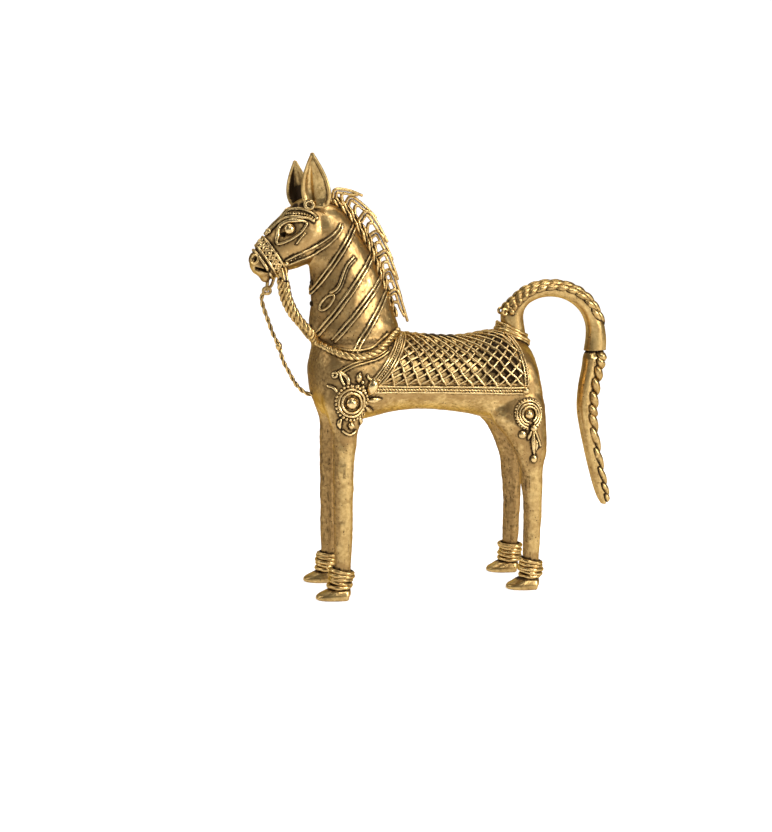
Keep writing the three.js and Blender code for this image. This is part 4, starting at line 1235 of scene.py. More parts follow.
def lifted(line, over, y=0.0):
    """A line of the middle plane moved up off the neck and aside."""
    moved = []
    for i, point in enumerate(line):
        tangent = past(line, i).normalized()
        moved.append(point + Vector((-tangent.z, 0, tangent.x)) * over + Vector((0, y, 0)))
    return moved


def crest_band():
    """Thick twisted ropes along the back of the neck on a core, with painted shade between the strands."""
    line = spaced(body_line(CREST_LINE), 1.0)
    clay = Clay()
    ropes = [lifted(line, 0.2, -1.25), lifted(line, 0.2, 1.25), lifted(line, 2.0)]
    for rope in ropes:
        clay.rope(rope, 1.4, 10.5, sides=8)
    clay.tube(lifted(line, -0.3), 1.7, 10)
    ornament("crest_ropes", clay, "crest_band", "cord", in_grooves(ropes + [lifted(line, 0.6)], 1.4))


# Mane lock: its root on the crest, its shoulder, its bend and its tip, as (behind the chest, over the back)
MANE_LOCKS = [
    [(12.2, 65), (13.2, 68.4), (19.5, 67.8), (25.2, 65.6)],
    [(18.2, 61), (20.6, 65), (26.2, 61.2), (32, 55.6)],
    [(24.2, 54.6), (27.6, 58.4), (32, 53.4), (36.8, 44.6)],
    [(29.2, 47), (33, 49), (36.6, 42.8), (39.7, 36.2)],
    [(32.8, 38.5), (36.6, 40), (39.4, 34), (41.8, 27.3)],
    [(35.6, 29.8), (39.2, 31.2), (41.6, 25.4), (43.9, 18.4)],
    [(38.2, 20.8), (41.6, 22), (44, 15.6), (46.4, 7.8)],
]
# Where the hook of the last lock is tied
AFTER_LAST_LOCK = (40.4, 12.0)
LOCK_STAGGER = 2.2


def mane_locks():
    """Sickles of paired wire that stand up from the crest, lean back and are tied to it by a hook."""
    roots = [spots[0] for spots in MANE_LOCKS] + [AFTER_LAST_LOCK]
    for number, spots in enumerate(MANE_LOCKS):
        y = LOCK_STAGGER / 2 * (-1 if number % 2 == 0 else 1)
        line = spaced(body_line(spots, y), 0.5)
        last = len(line) - 1
        clay = Clay()
        outer = lifted(line, 0.5)
        clay.tube(outer, lambda share: 0.82 - 0.14 * share)
        inner = lifted(line, -1.1)
        joined = [p.lerp(q, eased(0.6, 1.0, i / last)) for i, (p, q) in enumerate(zip(inner, line))]
        clay.tube(joined[: int(last * 0.92)], lambda share: 0.76 - 0.12 * share)
        foot = behind(*roots[number], y * 0.6).lerp(behind(*roots[number + 1], y * 0.6), 0.72)
        top = inner[int(last * 0.52)]
        knee = foot.lerp(top, 0.6) + Vector((-1.1, 0, 1.1))
        clay.tube(spaced([foot, knee, top], 0.4), 0.85)
        seam = [p.lerp(q, 0.5) for p, q in zip(outer, joined)][: int(last * 0.8)]
        # Painted shade along the seam between the paired wires.
        grooves = in_grooves([seam], 0.75)
        ornament(f"mane_sickle_{number + 1}", clay, f"mane_lock_{number + 1}", "cord", grooves)


# Reins and lead

# The free run of a rein: (behind the chest, over the back, share of their spread)
REIN_FREE = [
    (-12.3, 34, 0.86),
    (-11.3, 27.4, 1),
    (-10.4, 21.2, 1.12),
    (-8.4, 15.8, 1.25),
    (-5.4, 10.6, 1.38),
    (-1, 5.4, 1.5),
]
# The laid run of a rein, the wire along its edge and the strap under it: (behind the chest, over the back)
REIN_LAID = [
    (3.4, 0.4), (7.4, -3), (12.4, -5.4), (17.8, -6.6), (23.8, -6.2), (30.4, -3.8), (36.2, 0.2), (40.4, 4.2),
]
REIN_EDGE = [(-1.2, 6.4), (3, 1.6), (9.7, -2.3), (17.7, -3.6), (24.9, -2.9), (30.5, -0.4), (35, 3.4)]
LOW_STRAP = [(10.6, -13.2), (13.6, -11.2), (17.6, -9.4), (23.4, -8), (29, -6.4), (34, -3.8)]
REIN_SPREAD = 17.0


def reins():
    """Plaited cords from the noseband round the neck's foot, with plain wires at their ends and edges."""
    for word, side in SIDES.items():
        free = [behind(back, up, side * wide * REIN_SPREAD / 2) for back, up, wide in REIN_FREE]
        cord = free[1:] + side_track(body_line(REIN_LAID), side, 3.0).beside(0, 1.05, 1)
        clay = Clay().rope(cord, 1.75, 8.6, strands=3, sides=8)
        for aside in (-0.75, 0.75):
            wire = [p + Vector((aside, 0, aside * 0.3)) * (1 - 0.15 * i) for i, p in enumerate(free[:4])]
            clay.tube(spaced(wire, 0.6), 0.66)
        clay.tube(side_track(body_line(REIN_EDGE), side).beside(0, 0.45), 0.6)
        strap = side_track(body_line(LOW_STRAP), side)
        for across in (-0.65, 0.65):
            clay.tube(strap.beside(across, 0.3), 0.48)
        grooves = in_grooves([spaced(cord, 0.6)], 1.9, near(skin, 0.9))
        ornament(f"rein_cord_{word}", clay, f"rein_{word}", "cord", grooves)


LEAD_LINE = [
    (-20.4, 22.4), (-21.4, 19.4), (-20.2, 14.6), (-18.4, 9.4), (-16.4, 3.6), (-13.6, -2.4),
    (-11.8, -9), (-9, -14.6), (-5.6, -20.6), (-1.6, -24.4), (2.6, -25.8),
]
# The stop of the lead on which its bead sits
LEAD_BEAD = 5


def lead():
    """A thin twisted cord from a looped knot under the chin to the chest."""
    points = body_line(LEAD_LINE)
    clay = Clay().rope(points, 1.08, 7.4)
    knot = behind(-18.9, 23.2)
    loop = [knot + Vector((math.cos(a) * 1.7, 0, math.sin(a) * 1.5)) for a in (0.0, 1.3, 2.6, 3.9, 5.2)]
    clay.tube(spaced(loop, 0.5, closed=True), 0.75, closed=True)
    chin = on_head(0.84, -8.2)
    for y in (-0.7, 0.7):
        halfway = knot.lerp(chin, 0.5) + Vector((0.3, y, -0.5))
        tie = [knot + Vector((0.4, y, 0.8)), halfway, chin + Vector((0, y, 0.8))]
        clay.tube(spaced(tie, 0.5), 0.62)
    clay.tube(spaced([knot, on_head(0.93, -7.4)], 0.5), 0.8)
    clay.ball(points[LEAD_BEAD], 1.7, (0.9, 0.9, 1.2))
    ornament("lead_cord", clay, "lead", "cord", in_grooves([spaced(points, 0.6)], 0.9))


# Saddle cloth

# Stops of a net wire in a row of the cloth
NET_STEPS = 4


def net_line(first, slope):
    """A slanting line of the net over the back, above the other lines where it runs down to the rear."""
    line = []
    for i in range(CLOTH_ROWS * 2 * NET_STEPS + 1):
        row = i / NET_STEPS
        column = first + slope * row
        if 0 <= column <= CLOTH_COLUMNS:
            ripple = 0.3 * noise.noise(Vector((column * 0.7, row * 0.7, slope * 7 + first)))
            above = eased(-1.5, 1.5, slope * (row - CLOTH_ROWS))
            lift = mixed(0.25, 0.85, above)
            line.append(on_cloth((column + ripple) / CLOTH_COLUMNS, row / CLOTH_ROWS - 1, lift))
    return line


# The last wires at the cloth's rear edge: [share of the length, share of the side]
NET_ARCH = [(0.86, 0.02), (0.9, 0.14), (0.95, 0.26), (0.985, 0.42)]


def worn_seat(way, down):
    """How far the cloth is rubbed smooth, full at the middle of the seat."""
    return eased(0.12, 0.24, way) * (1 - eased(0.5, 0.64, way)) * (1 - eased(0.1, 0.26, abs(down)))


def saddle_cloth():
    """A sunken floor over the back with an open net of slanting wires over it, one way across the other."""
    columns = 110
    rows = 120
    ways = [0.004 + 0.992 * c / columns for c in range(columns + 1)]
    grids = []
    for lift in (0.2 - CLOTH_SINK, -0.1 - CLOTH_SINK):
        grid = []
        for r in range(rows + 1):
            down = 1.98 * r / rows - 0.99
            grid.append([on_cloth(way, down, lift + 1.45 * worn_seat(way, down)) for way in ways])
        grids.append(grid)
    floor = Clay().rings([row + list(reversed(low)) for row, low in zip(*grids)]).thing("saddle_sheet")
    ground = Skin(floor.data)
    net = Clay()
    shadows = []
    span = CLOTH_ROWS * 2
    for first in range(-span, CLOTH_COLUMNS + 1, 2):
        for slope, start in ((1, first), (-1, first + span)):
            line = net_line(start, slope)
            if len(line) > 4:
                net.tube(line, uneven(0.5, first), 7)
                shadows.extend(ground.nearest(point)[0] for point in line)
    for side in SIDES.values():
        net.tube(spaced([on_cloth(way, side * down, 0.8) for way, down in NET_ARCH], 0.6), 0.5)
    away = distance_to(shadows)

    def depth_at(place):
        # Painted shadow of the wires on the floor, on the side away from the light; darker towards the
        # rear; less on the worn seat.
        beside = 1 - eased(0.45, 0.85, away(place + Vector((0.45, 0, 0.5))))
        patches = noise.noise(place * 0.09) * 0.2
        rear = eased(CHEST_X + 70, CHEST_X + 90, place.x)
        down = down_cloth(place)
        way = (place.x - cloth_front(down)) / (cloth_rear(down) - cloth_front(down))
        return max(0.02 + patches * 0.6 + 0.6 * rear, beside) * (1 - 0.85 * worn_seat(way, down))

    finished(floor, "floor", "saddle_cloth", depth_at)
    # Painted shade on the wires' undersides close to the floor.
    finished(net.thing("saddle_net"), "wire", depth_at=near(ground, 1.15))


LOWER_BORDER = 3.6
FRONT_BORDER = 4.8
REAR_BORDER = 2.6
BORDER_SEAM = 0.5


def edge_track(edge, offset, low, high, count):
    """A track beside an edge of the cloth, from one share of its side to another."""
    stops = []
    for share in shares(count):
        down = mixed(low, high, share)
        x = edge(abs(down)) + offset
        stops.append(trunk_stop(x, down * angle_down_to(x, cloth_level(x))))
    return Track(stops)


def border(track, wires):
    """Wires along a border: how far beside its middle each lies, and its radius."""
    clay = Clay()
    for across, radius in wires:
        clay.tube(track.beside(across, 0.7), uneven(radius, across))
    return clay


def front_border():
    """Four wires down the front edge of the cloth, with a row of dots between the middle ones."""
    track = edge_track(cloth_front, -FRONT_BORDER / 2 - BORDER_SEAM, -0.97, 0.97, 120)
    clay = border(track, ((-2.05, 0.52), (-0.95, 0.45), (0.95, 0.45), (2.1, 0.56)))
    clay.beads(track.beside(0, 0.55), 0.46, 1.2)
    ornament("front_edge_wires", clay, "saddle_border_front")


def rear_border(side):
    track = edge_track(cloth_rear, REAR_BORDER / 2 + BORDER_SEAM, side, side * 0.18, 60)
    return border(track, ((-0.85, 0.5), (0.85, 0.5))).beads(track.beside(0, 0.45), 0.36, 1.3)


def lower_border(side):
    """Wire, twisted wire and wire along the lower edge of the cloth, ending in a bead."""
    front = cloth_front(1) - LOWER_BORDER
    rear = cloth_rear(1) + REAR_BORDER
    under = LOWER_BORDER / 2 + BORDER_SEAM
    stops = []
    for share in shares(90):
        x = mixed(front + 0.6, rear - 0.6, share)
        stops.append(trunk_stop(x, side * angle_down_to(x, cloth_level(x) - under)))
    track = Track(stops)
    clay = border(track, ((-1.4, 0.54), (1.4, 0.54)))
    clay.rope(track.beside(0, 0.66), 0.7, 2.9)
    return clay.ball(track.beside(0, 0.9)[-1] + Vector((-0.6, 0, 0.2)), 1.8)


# Rosettes


class Relief:
    """Wires and leaves laid on one side of the horse round a place, as (behind it, above it)."""

    def __init__(self, place, side):
        self.place = place
        self.side = side
        self.clay = Clay()
        self.centre, self.normal = skin.on_side(place, side)

    def spot(self, x, z):
        return self.place + Vector((x, 0, z))

    def line(self, spots, lift):
        return side_track([self.spot(*spot) for spot in spots], self.side, 0.45).beside(0, lift)

    def wire(self, spots, radius):
        self.clay.tube(self.line(spots, 0.4), radius)

    def leaf(self, spots, width):
        """A plump leaf from one end of a line to the other."""
        def radius_at(share):
            return max(width / 2 * math.sin(math.pi * (0.1 + 0.86 * share)) ** 0.8, 0.2)
        self.clay.tube(self.line(spots, 0.3), radius_at, 10)

    def ball(self, spot, radius, stretch=(1, 1, 1), lift=0.3):
        point, normal = skin.on_side(self.spot(*spot), self.side)
        self.clay.ball(point + normal * lift, radius, stretch)

    def eyelet(self, spot, radius, wire):
        point, normal = skin.on_side(self.spot(*spot), self.side)
        self.clay.tube(disc_track(point, normal, radius, 0.35).beside(0, 0.35), wire, closed=True)

    def rounds(self, radius, lift, gap=None):
        """A line round the place, open between two turns from straight up, counted towards the rear."""
        ends = ()
        if gap:
            low, high = gap
            ends = (high, low + 2 * math.pi) if self.side == RIGHT else (-low - 2 * math.pi, -high)
        return disc_track(self.centre, self.normal, radius, 0.45, *ends).beside(0, lift)

    def ring(self, radius, wire, lift, gap=None):
        self.clay.tube(self.rounds(radius, lift, gap), wire, closed=not gap)

    def bead_ring(self, radius, bead, spacing, lift, gap=None):
        self.clay.beads(self.rounds(radius, lift, gap), bead, spacing)

    def boss(self, radius):
        rings = []
        for r in range(8):
            tilt = math.pi / 2 * r / 8
            ring = disc_track(self.centre, self.normal, max(radius * math.cos(tilt), 0.3), 0.05)
            line = ring.beside(0, 0.2, 0)
            step = len(line) / 24
            rise = self.normal * radius * 0.85 * math.sin(tilt)
            rings.append([line[int(i * step)] + rise for i in range(24)])
        self.clay.rings(rings)


SHOULDER_PLACE = Vector((FRONT_LEG_X + 3.3, 0, BELLY + 5.9))
HIP_PLACE = Vector((HIND_LEG_X - 4.0, 0, BELLY - 2.2))

# Leaves round the shoulder rosette: [line, width]
SHOULDER_LEAVES = [
    [[(3.2, 9.6), (3.4, 11.6), (3.9, 13.6)], 3.0],
    [[(10.6, 11.0), (9.8, 7.6), (8.2, 3.4)], 5.4],
    [[(7.9, 0.5), (10.8, 1.0), (14, 1.2)], 2.8],
    [[(7.0, -2.6), (9, -4), (11, -5.2)], 2.4],
    [[(-0.3, -8.6), (-0.4, -10.3), (-0.6, -12.2)], 3.2],
    [[(-4.8, -7.2), (-5.7, -9.2), (-5.2, -11.6)], 2.2],
    [[(3.5, -6.8), (4.3, -8.6), (4.2, -10.6)], 2.0],
]
# Wires round it: [line, radius]
SHOULDER_WIRES = [
    [[(-1.4, 8.8), (-1.6, 11), (-3.2, 12.9), (-5.4, 14.1)], 0.8],
    [[(-3.2, 8.4), (-4.4, 10.6), (-5.4, 14.1)], 0.55],
    [[(-10.1, 7.6), (-7.9, 7), (-6.5, 5.2)], 0.6],
    [[(7.1, 12.4), (8.4, 10.6), (12.8, 10.2)], 0.6],
    [[(-4.3, -12.6), (-1.2, -14.6), (1.6, -13)], 0.5],
]
SHOULDER_BEADS = [[(2.8, 7.6), 0.95], [(5.0, 9.4), 0.8], [(5.2, 7.2), 0.8], [(5.9, 5.6), 0.85]]


def shoulder_rosette(side):
    relief = Relief(SHOULDER_PLACE, side)
    relief.boss(2.85)
    relief.ring(4.5, 0.6, 0.95)
    relief.ring(6.15, 0.62, 0.8)
    relief.bead_ring(7.7, 0.78, 1.75, 0.5)
    for line, width in SHOULDER_LEAVES:
        relief.leaf(line, width)
    for line, radius in SHOULDER_WIRES:
        relief.wire(line, radius)
    for spot, radius in SHOULDER_BEADS:
        relief.ball(spot, radius)
    relief.eyelet((-7.2, 12.7), 1.15, 0.5)
    relief.eyelet((5.4, -5.6), 0.95, 0.45)
    return relief.clay


HIP_GAP = (math.radians(155), math.radians(192))


def hip_rosette(side):
    """A boss in rings that stand open below, where the pendant's knot sits."""
    relief = Relief(HIP_PLACE, side)
    relief.boss(2.3)
    relief.ring(3.6, 0.48, 0.9, HIP_GAP)
    relief.ring(4.95, 0.5, 0.8, HIP_GAP)
    relief.ring(6.25, 0.5, 0.7, HIP_GAP)
    relief.bead_ring(7.0, 0.62, 1.5, 0.4, HIP_GAP)
    return relief.clay


def hip_pendant(side):
    """A knot under the hip rosette with strands, a long drop and a dimpled disc."""
    relief = Relief(HIP_PLACE, side)
    relief.ball((2.1, -6.4), 1.65, (1.1, 0.8, 1.0), 0.6)
    relief.ball((2.6, -8.2), 1.0)
    relief.leaf([(2.0, -8.0), (2.1, -13.4), (2.6, -18.9)], 2.1)
    relief.ball((2.6, -20.9), 1.55, (0.95, 0.75, 1.25))
    relief.leaf([(0.9, -7.9), (0.2, -9.6), (-0.4, -11.8)], 1.5)
    relief.wire([(3.2, -8.6), (4.4, -11.4), (5.6, -15)], 0.52)
    relief.leaf([(3.4, -12.2), (3.8, -14.6), (3.5, -17)], 1.3)
    relief.ball((-3.1, -9.3), 1.9, (1, 0.55, 1), 0.2)
    relief.eyelet((-3.1, -9.3), 0.75, 0.35)
    return relief.clay


# Tail

TAIL_ROOT = Vector((RUMP_X - 14.2, 0, BACK + 4))
TAIL_WIDTH = 9.2
SWITCH_TOP = -12.7
SWITCH_DROP = 75.0
# Ribs: [outer edge behind and over the root, inner edge behind and over the root]
DOCK_RIBS = [
    [-4.6, -5, 8, -10],
    [-5.6, 4.6, 5.9, 2.4],
    [-4.6, 9.4, 5.8, 6],
    [0.2, 13.8, 6.6, 8.6],
    [6, 18.2, 9.2, 11.2],
    [14, 21, 14.6, 13.3],
    [23.4, 21.2, 21.4, 13.4],
    [32, 18.7, 27.8, 11.3],
    [39.6, 12.7, 33.6, 6.6],
    [44.8, 4, 36.6, 0.2],
    [47.1, -5, 36.9, -6],
    [47.3, -12.2, 36, -12.4],
]
# Ribs: [outer edge behind the root, its share of the drop, inner edge and its share likewise]
SWITCH_RIBS = [
    [46, 0, 36.8, 0],
    [47.1, 0.03, 35.8, 0.03],
    [46, 0.1, 35.2, 0.1],
    [44.3, 0.22, 33.5, 0.23],
    [43.3, 0.36, 33, 0.35],
    [43.3, 0.46, 33.9, 0.45],
    [45.4, 0.65, 37.3, 0.65],
    [48.2, 0.83, 40.9, 0.83],
    [50, 0.945, 43.9, 0.945],
    [48.8, 1, 46.4, 1],
]
# Each pair of hoops round the tail's root: its front, its rear and the wire's radius
COLLAR_HOOPS = [[(-8.7, 0.6), (8.6, -8.3), 0.95], [(-7.4, 2.9), (7.6, -5.2), 0.8]]


def folded(turn):
    """How far a turn is from the outer edge, either way round."""
    return abs(math.remainder(turn, 2 * math.pi))


class TailPart:
    """A part of the tail as rows of outer edge, inner edge and half width, with its surface between."""

    def __init__(self, rows, halves):
        self.rows = rows
        self.halves = halves

    def at(self, way, turn, size):
        """A place so far along, turned from the outer edge, at a share of the full thickness."""
        here = min(max(way, 0.0), 1.0) * (len(self.rows) - 1)
        low = min(int(here), len(self.rows) - 2)
        (outer, inner), (outer_next, inner_next) = self.rows[low], self.rows[low + 1]
        outer = outer.lerp(outer_next, here - low)
        inner = inner.lerp(inner_next, here - low)
        half = mixed(self.halves[low], self.halves[low + 1], here - low)
        middle = (outer + inner) / 2
        reach = (outer - middle) * math.cos(turn)
        return middle + (reach + Vector((0, half * math.sin(turn), 0))) * size

    def body(self, clay, size_at, shade_at, count=110, sides=32):
        """The plain body, with its size and darkness given by way and turn."""
        rings = []
        shades = []
        for way in shares(count):
            rings.append([self.at(way, turn, size_at(way, turn)) for turn in circle_turns(sides)])
            shades += [shade_at(way, folded(turn)) for turn in circle_turns(sides)]
        clay.rings(rings)
        return shades + [0.3] * (len(clay.points) - len(shades))

    def lock(self, clay, start, end, turns, width, size=0.86):
        """A plump pointed lock laid along the tail from one turn to another."""
        def radius_at(share):
            return max(width / 2 * math.sin(math.pi * (0.16 + 0.8 * share)) ** 0.7, 0.25)

        line = [self.at(mixed(start, end, share), mixed(*turns, share), size) for share in shares(12)]
        clay.tube(line, radius_at)


def tail_edges(rows, top=0.0, drop=-1.0):
    """The outer and the inner edge of a part of the tail."""
    return [
        (TAIL_ROOT + Vector((a, 0, top - b * drop)), TAIL_ROOT + Vector((c, 0, top - d * drop)))
        for a, b, c, d in rows
    ]


def tail_piece(name, node, part, size_at, shade_at, locks):
    clay = Clay()
    shades = part.body(clay, size_at, shade_at)
    body = Skin(clay.mesh(name + "_body"))
    start = len(clay.points)
    for lock in locks:
        part.lock(clay, *lock)
    shades += [1 - eased(0.25, 1.05, body.nearest(p)[2]) for p in clay.points[start:]]
    clay.points = [inside_box(point) for point in clay.points]
    marked(clay, name, node, shades)


LOCK_ROWS = 12


def tail_dock():
    """The arched upper part of the tail: smooth inside, slanting locks outside, and a flared smooth end."""
    edges = tail_edges(flow(DOCK_RIBS, 12))
    part = TailPart(edges, [TAIL_WIDTH / 2] * len(edges))

    def size_at(way, turn):
        outside = eased(-0.3, 0.3, math.cos(turn))
        return 0.97 - 0.13 * outside * eased(0.1, 0.2, way) * (1 - eased(0.78, 0.86, way))

    def shade_at(way, turn):
        locks = (1 - eased(1.5, 1.75, turn)) * eased(0.12, 0.18, way) * (1 - eased(0.78, 0.84, way))
        return max(0.9 * locks, 0.8 * eased(0.99, 1.0, way))

    locks = []
    for i in range(LOCK_ROWS):
        way = 0.13 + 0.057 * i
        for side in SIDES.values():
            locks.append((way, way + 0.076, (side * 1.45, side * 0.95), 3.5))
            locks.append((way + 0.028, way + 0.104, (side * 0.85, side * 0.3), 3.5))
    tail_piece("tail_arch_scales", "tail_dock", part, size_at, shade_at, locks)


def tail_switch():
    """The hanging part of the tail: a smooth inner ridge, a groove, and locks down its outer side."""
    rows = flow(SWITCH_RIBS, 12)
    halves = []
    for row in rows:
        ends = eased(0, 0.05, row[1]) * (1 - 0.45 * eased(0.95, 1.0, row[1]))
        halves.append(TAIL_WIDTH / 2 * (1 - 0.35 * row[1] ** 2) * mixed(0.6, 1, ends))
    part = TailPart(tail_edges(rows, SWITCH_TOP, SWITCH_DROP), halves)

    def size_at(way, turn):
        away = folded(turn)
        groove = eased(0.8, 1.1, away) * (1 - eased(1.5, 1.9, away)) * (1 - eased(0.55, 0.8, way))
        outside = (1 - eased(0.9, 1.3, away)) * eased(0.05, 0.1, way)
        return 0.97 - 0.16 * groove - 0.12 * outside

    def shade_at(way, turn):
        groove = eased(0.7, 1.0, turn) * (1 - eased(1.35, 1.6, turn)) * (1 - eased(0.4, 0.7, way))
        return max(groove * 0.8, 0.7 * (1 - eased(0.8, 1.2, turn)), 1 - eased(0.03, 0.08, way))

    locks = []
    for i in range(LOCK_ROWS):
        way = 0.08 + 0.072 * i
        for side in SIDES.values():
            width = 4.6 - 1.3 * way * way
            locks.append((way, way + 0.088, (side * 1.4, side * 0.35), width, 0.86 - 0.08 * way))
    tail_piece("tail_switch_scales", "tail_switch", part, size_at, shade_at, locks)


def tail_collar():
    """Hoops round the root of the tail, with a pierced knob on the front."""
    clay = Clay()
    for (front_x, front_z), (rear_x, rear_z), size in COLLAR_HOOPS:
        front = TAIL_ROOT + Vector((front_x, 0, front_z))
        rear = TAIL_ROOT + Vector((rear_x, 0, rear_z))
        centre = (front + rear) / 2
        reach = (front - rear) / 2
        hoop = []
        for angle in circle_turns(36):
            spot = centre + reach * math.cos(angle) + Vector((0, 5.9 * math.sin(angle), 0))
            laid, facing, _ = skin.nearest(spot)
            hoop.append(laid + facing * size * 0.8 if size > 0.9 else laid.lerp(spot, 0.5) + facing * 0.8)
        hoop = calmed(hoop, 3, closed=True)
        for rise in (0.0, 1.3):
            raised = [p + Vector((0.1, 0, 1)) * rise for p in hoop]
            clay.tube(spaced(raised, 0.8, closed=True), uneven(size, rise), 10, closed=True)
    for y in (-3.4, 3.4):
        knob = TAIL_ROOT + Vector((-4.4, y, 7.4))
        clay.tube(small_loop(knob, 1.3, 0.3, (0, 1.2, 2.5, 3.8, 5)), 0.7, closed=True)
        clay.ball(knob + Vector((3.0, 0, 0.2)), 1.2)
    ornament("tail_hoops", clay, "tail_collar", "cord", 1.2)


# Feet

# Each pair of feet: its legs' axis, where the feet stand forward of it, and the toe's reach
FEET = {
    "front": (FRONT_LEG_X, FRONT_FOOT, 13.1),
    "hind": (HIND_LEG_X, HIND_FOOT, 12.6),
}
HEEL_REACH = 2.4
HOOF_HALF = 6.2
COILS = 5


def anklet(x, foot, side):
    """Coils of thin uneven wire."""
    clay = Clay()
    for turn in range(COILS):
        height = 6.3 + 1.72 * turn
        lean = 0.75 + 0.35 * math.sin(turn * 2.4 + side)
        swell = 4.95 + 0.35 * math.sin(turn * 1.9 + side + x)
        forward = mixed(foot[0], foot[1], turn / COILS)
        hoop = []
        for angle in circle_turns(30):
            reach = swell + 0.2 * math.sin(3 * angle + turn)
            hoop.append(Vector((
                x - forward + reach * math.cos(angle),
                side * LEG_Y + reach * math.sin(angle),
                max(height - lean * math.cos(angle) * (turn > 0), 6.0),
            )))
        clay.tube(hoop, uneven(0.98, turn), 10, closed=True)
    return clay


def hoof(x, toe, side):
    """A wedge that runs out to a blunt toe, flat underneath."""
    heel = HEEL_REACH
    half = HOOF_HALF
    # [reach of the toe, reach of the heel, half width, height]
    rows = [
        [toe - 0.9, heel - 0.5, half - 0.8, 0.0],
        [toe - 0.15, heel - 0.1, half - 0.15, 0.5],
        [toe - 0.05, heel, half - 0.05, 1.4],
        [toe - 0.7, heel + 0.7, half - 0.1, 2.4],
        [toe - 2.6, heel + 0.9, half - 0.4, 3.4],
        [8.0, 3.2, half - 0.9, 4.5],
        [5.8, 2.8, half - 1.8, 5.4],
    ]
    rings = []
    for front, back, wide, height in flow(rows, 5):
        ring = []
        for angle in circle_turns(32):
            away = math.cos(angle)
            long = back if away > 0 else front
            blunt = math.copysign(abs(away) ** 0.8, away)
            ring.append(Vector((x + long * blunt, side * LEG_Y + wide * math.sin(angle), height)))
        rings.append(ring)
    return Clay().rings(rings)


# Painted shade on the hoof just under the anklet and at its sole.
def hoof_shade(place):
    return 0.75 * eased(4.0, 5.2, place.z) + 0.35 * (1 - eased(0.0, 0.8, place.z))


def feet():
    """Coiled anklets and wedge hooves."""
    for end, (x, foot, toe) in FEET.items():
        for word, side in SIDES.items():
            leg = f"{end}_{word}"
            ornament(f"anklet_coils_{leg}", anklet(x, foot, side), f"anklet_{leg}", "cord", 2.1)
            finished(hoof(x, toe, side).thing(f"hoof_wedge_{leg}"), "limb", f"hoof_{leg}", hoof_shade)


# The skin, parted again into the pieces that the frame names


def rein_level(back):
    """How high over the back the reins run on the skin, so far behind the chest."""
    for (x, z), (x_next, z_next) in zip(REIN_LAID, REIN_LAID[1:]):
        if back < x_next:
            return mixed(z, z_next, max(back - x, 0.0) / (x_next - x))
    return REIN_LAID[-1][1]


# Where the skin is parted: over the legs, under the head, at the neck's rear and along throat and poll
LEG_TOP = 78.5
HEAD_BOTTOM = 141
NECK_END = CHEST_X + 44
THROAT = behind(-0.8, 35.5)
POLL = behind(9.5, 64)


def region(place):
    """The CAD node that a place on the skin belongs to."""
    if place.z < LEG_TOP:
        end = "front" if place.x < 0 else "hind"
        return f"leg_{end}_{'left' if place.y < 0 else 'right'}"
    if place.z > HEAD_BOTTOM and (place - THROAT).cross(POLL - THROAT).y > 0:
        return "head"
    if place.z - BACK > rein_level(place.x - CHEST_X) and place.x < NECK_END:
        return "neck"
    return "body"


# Where the metal has stained brown: [behind the chest, over the back, reach]
STAINS = [
    [4, 9, 14],
    [6, 30, 9],
    [12, -8, 9],
    [30, -2, 10],
    [3, -20, 12],
    [-13, 45, 9],
    [-3, 38, 8],
    [1, 64, 6],
]


def stain_at(place, back, up, reach):
    return 1 - eased(0.3, 1.0, math.hypot(place.x - CHEST_X - back, place.z - BACK - up) / reach)


# The names of the skin's parts where they aren't their node's
PIECE_NAMES = {"body": "trunk_skin", "neck": "neck_skin", "head": "head_skin"}


def skin_shade_and_stain():
    """How much painted shade and how much stain each point of the skin has; the stain also takes painted
    shade on the legs.
    """
    lookup = lookup_of([point for point, _ in contacts])
    depths = []
    stain_and_shade = []
    for vertex, dent_shade in zip(skin_mesh.vertices, dent_shades):
        place = vertex.co / MM
        _, found, distance = lookup.find(place)
        unevenness = 0.85 + 0.5 * noise.noise(place * 0.16 + Vector((7, 3, 1)))
        # Painted shade beside the ornament.
        beside = (1.0 - eased(0.1, 1.7 * contacts[found][1], distance)) * unevenness
        forward = -vertex.normal.x
        limb = 1 - eased(76, 90, place.z)
        # Painted shade on the legs' inner sides.
        inner = eased(0.1, 0.9, -vertex.normal.y * math.copysign(1, place.y)) * limb
        # Painted shade on the legs' forward sides.
        front_shade = eased(0.3, 0.95, forward) * limb
        patches = [stain_at(place, *stain) for stain in STAINS]
        stain_and_shade.append(max(1 - eased(1.0, 7.0, distance), inner, 0.8 * front_shade, *patches))
        # Painted shade on the undersides just above the legs.
        under = eased(0.5, 1.0, -vertex.normal.z) * eased(70, 80, place.z)
        # Painted shade on the forward-facing chest and front of the neck.
        breast_shade = eased(0.2, 0.9, forward) * eased(90, 100, place.z) * (1 - eased(148, 156, place.z))
        # Painted shade along the crease at the foot of the neck.
        foot = 1 - eased(0.6, 2.6, abs(place.z - BACK - 0.2))
        foot *= eased(7, 11, abs(place.y)) * (1 - eased(CHEST_X + 38, NECK_END, place.x))
        depths.append(max(beside, dent_shade, 0.25 * under, 0.24 * inner, 0.3 * front_shade, 0.36 * breast_shade, 0.5 * foot))
    return {"hollow": depths, "stain": stain_and_shade}


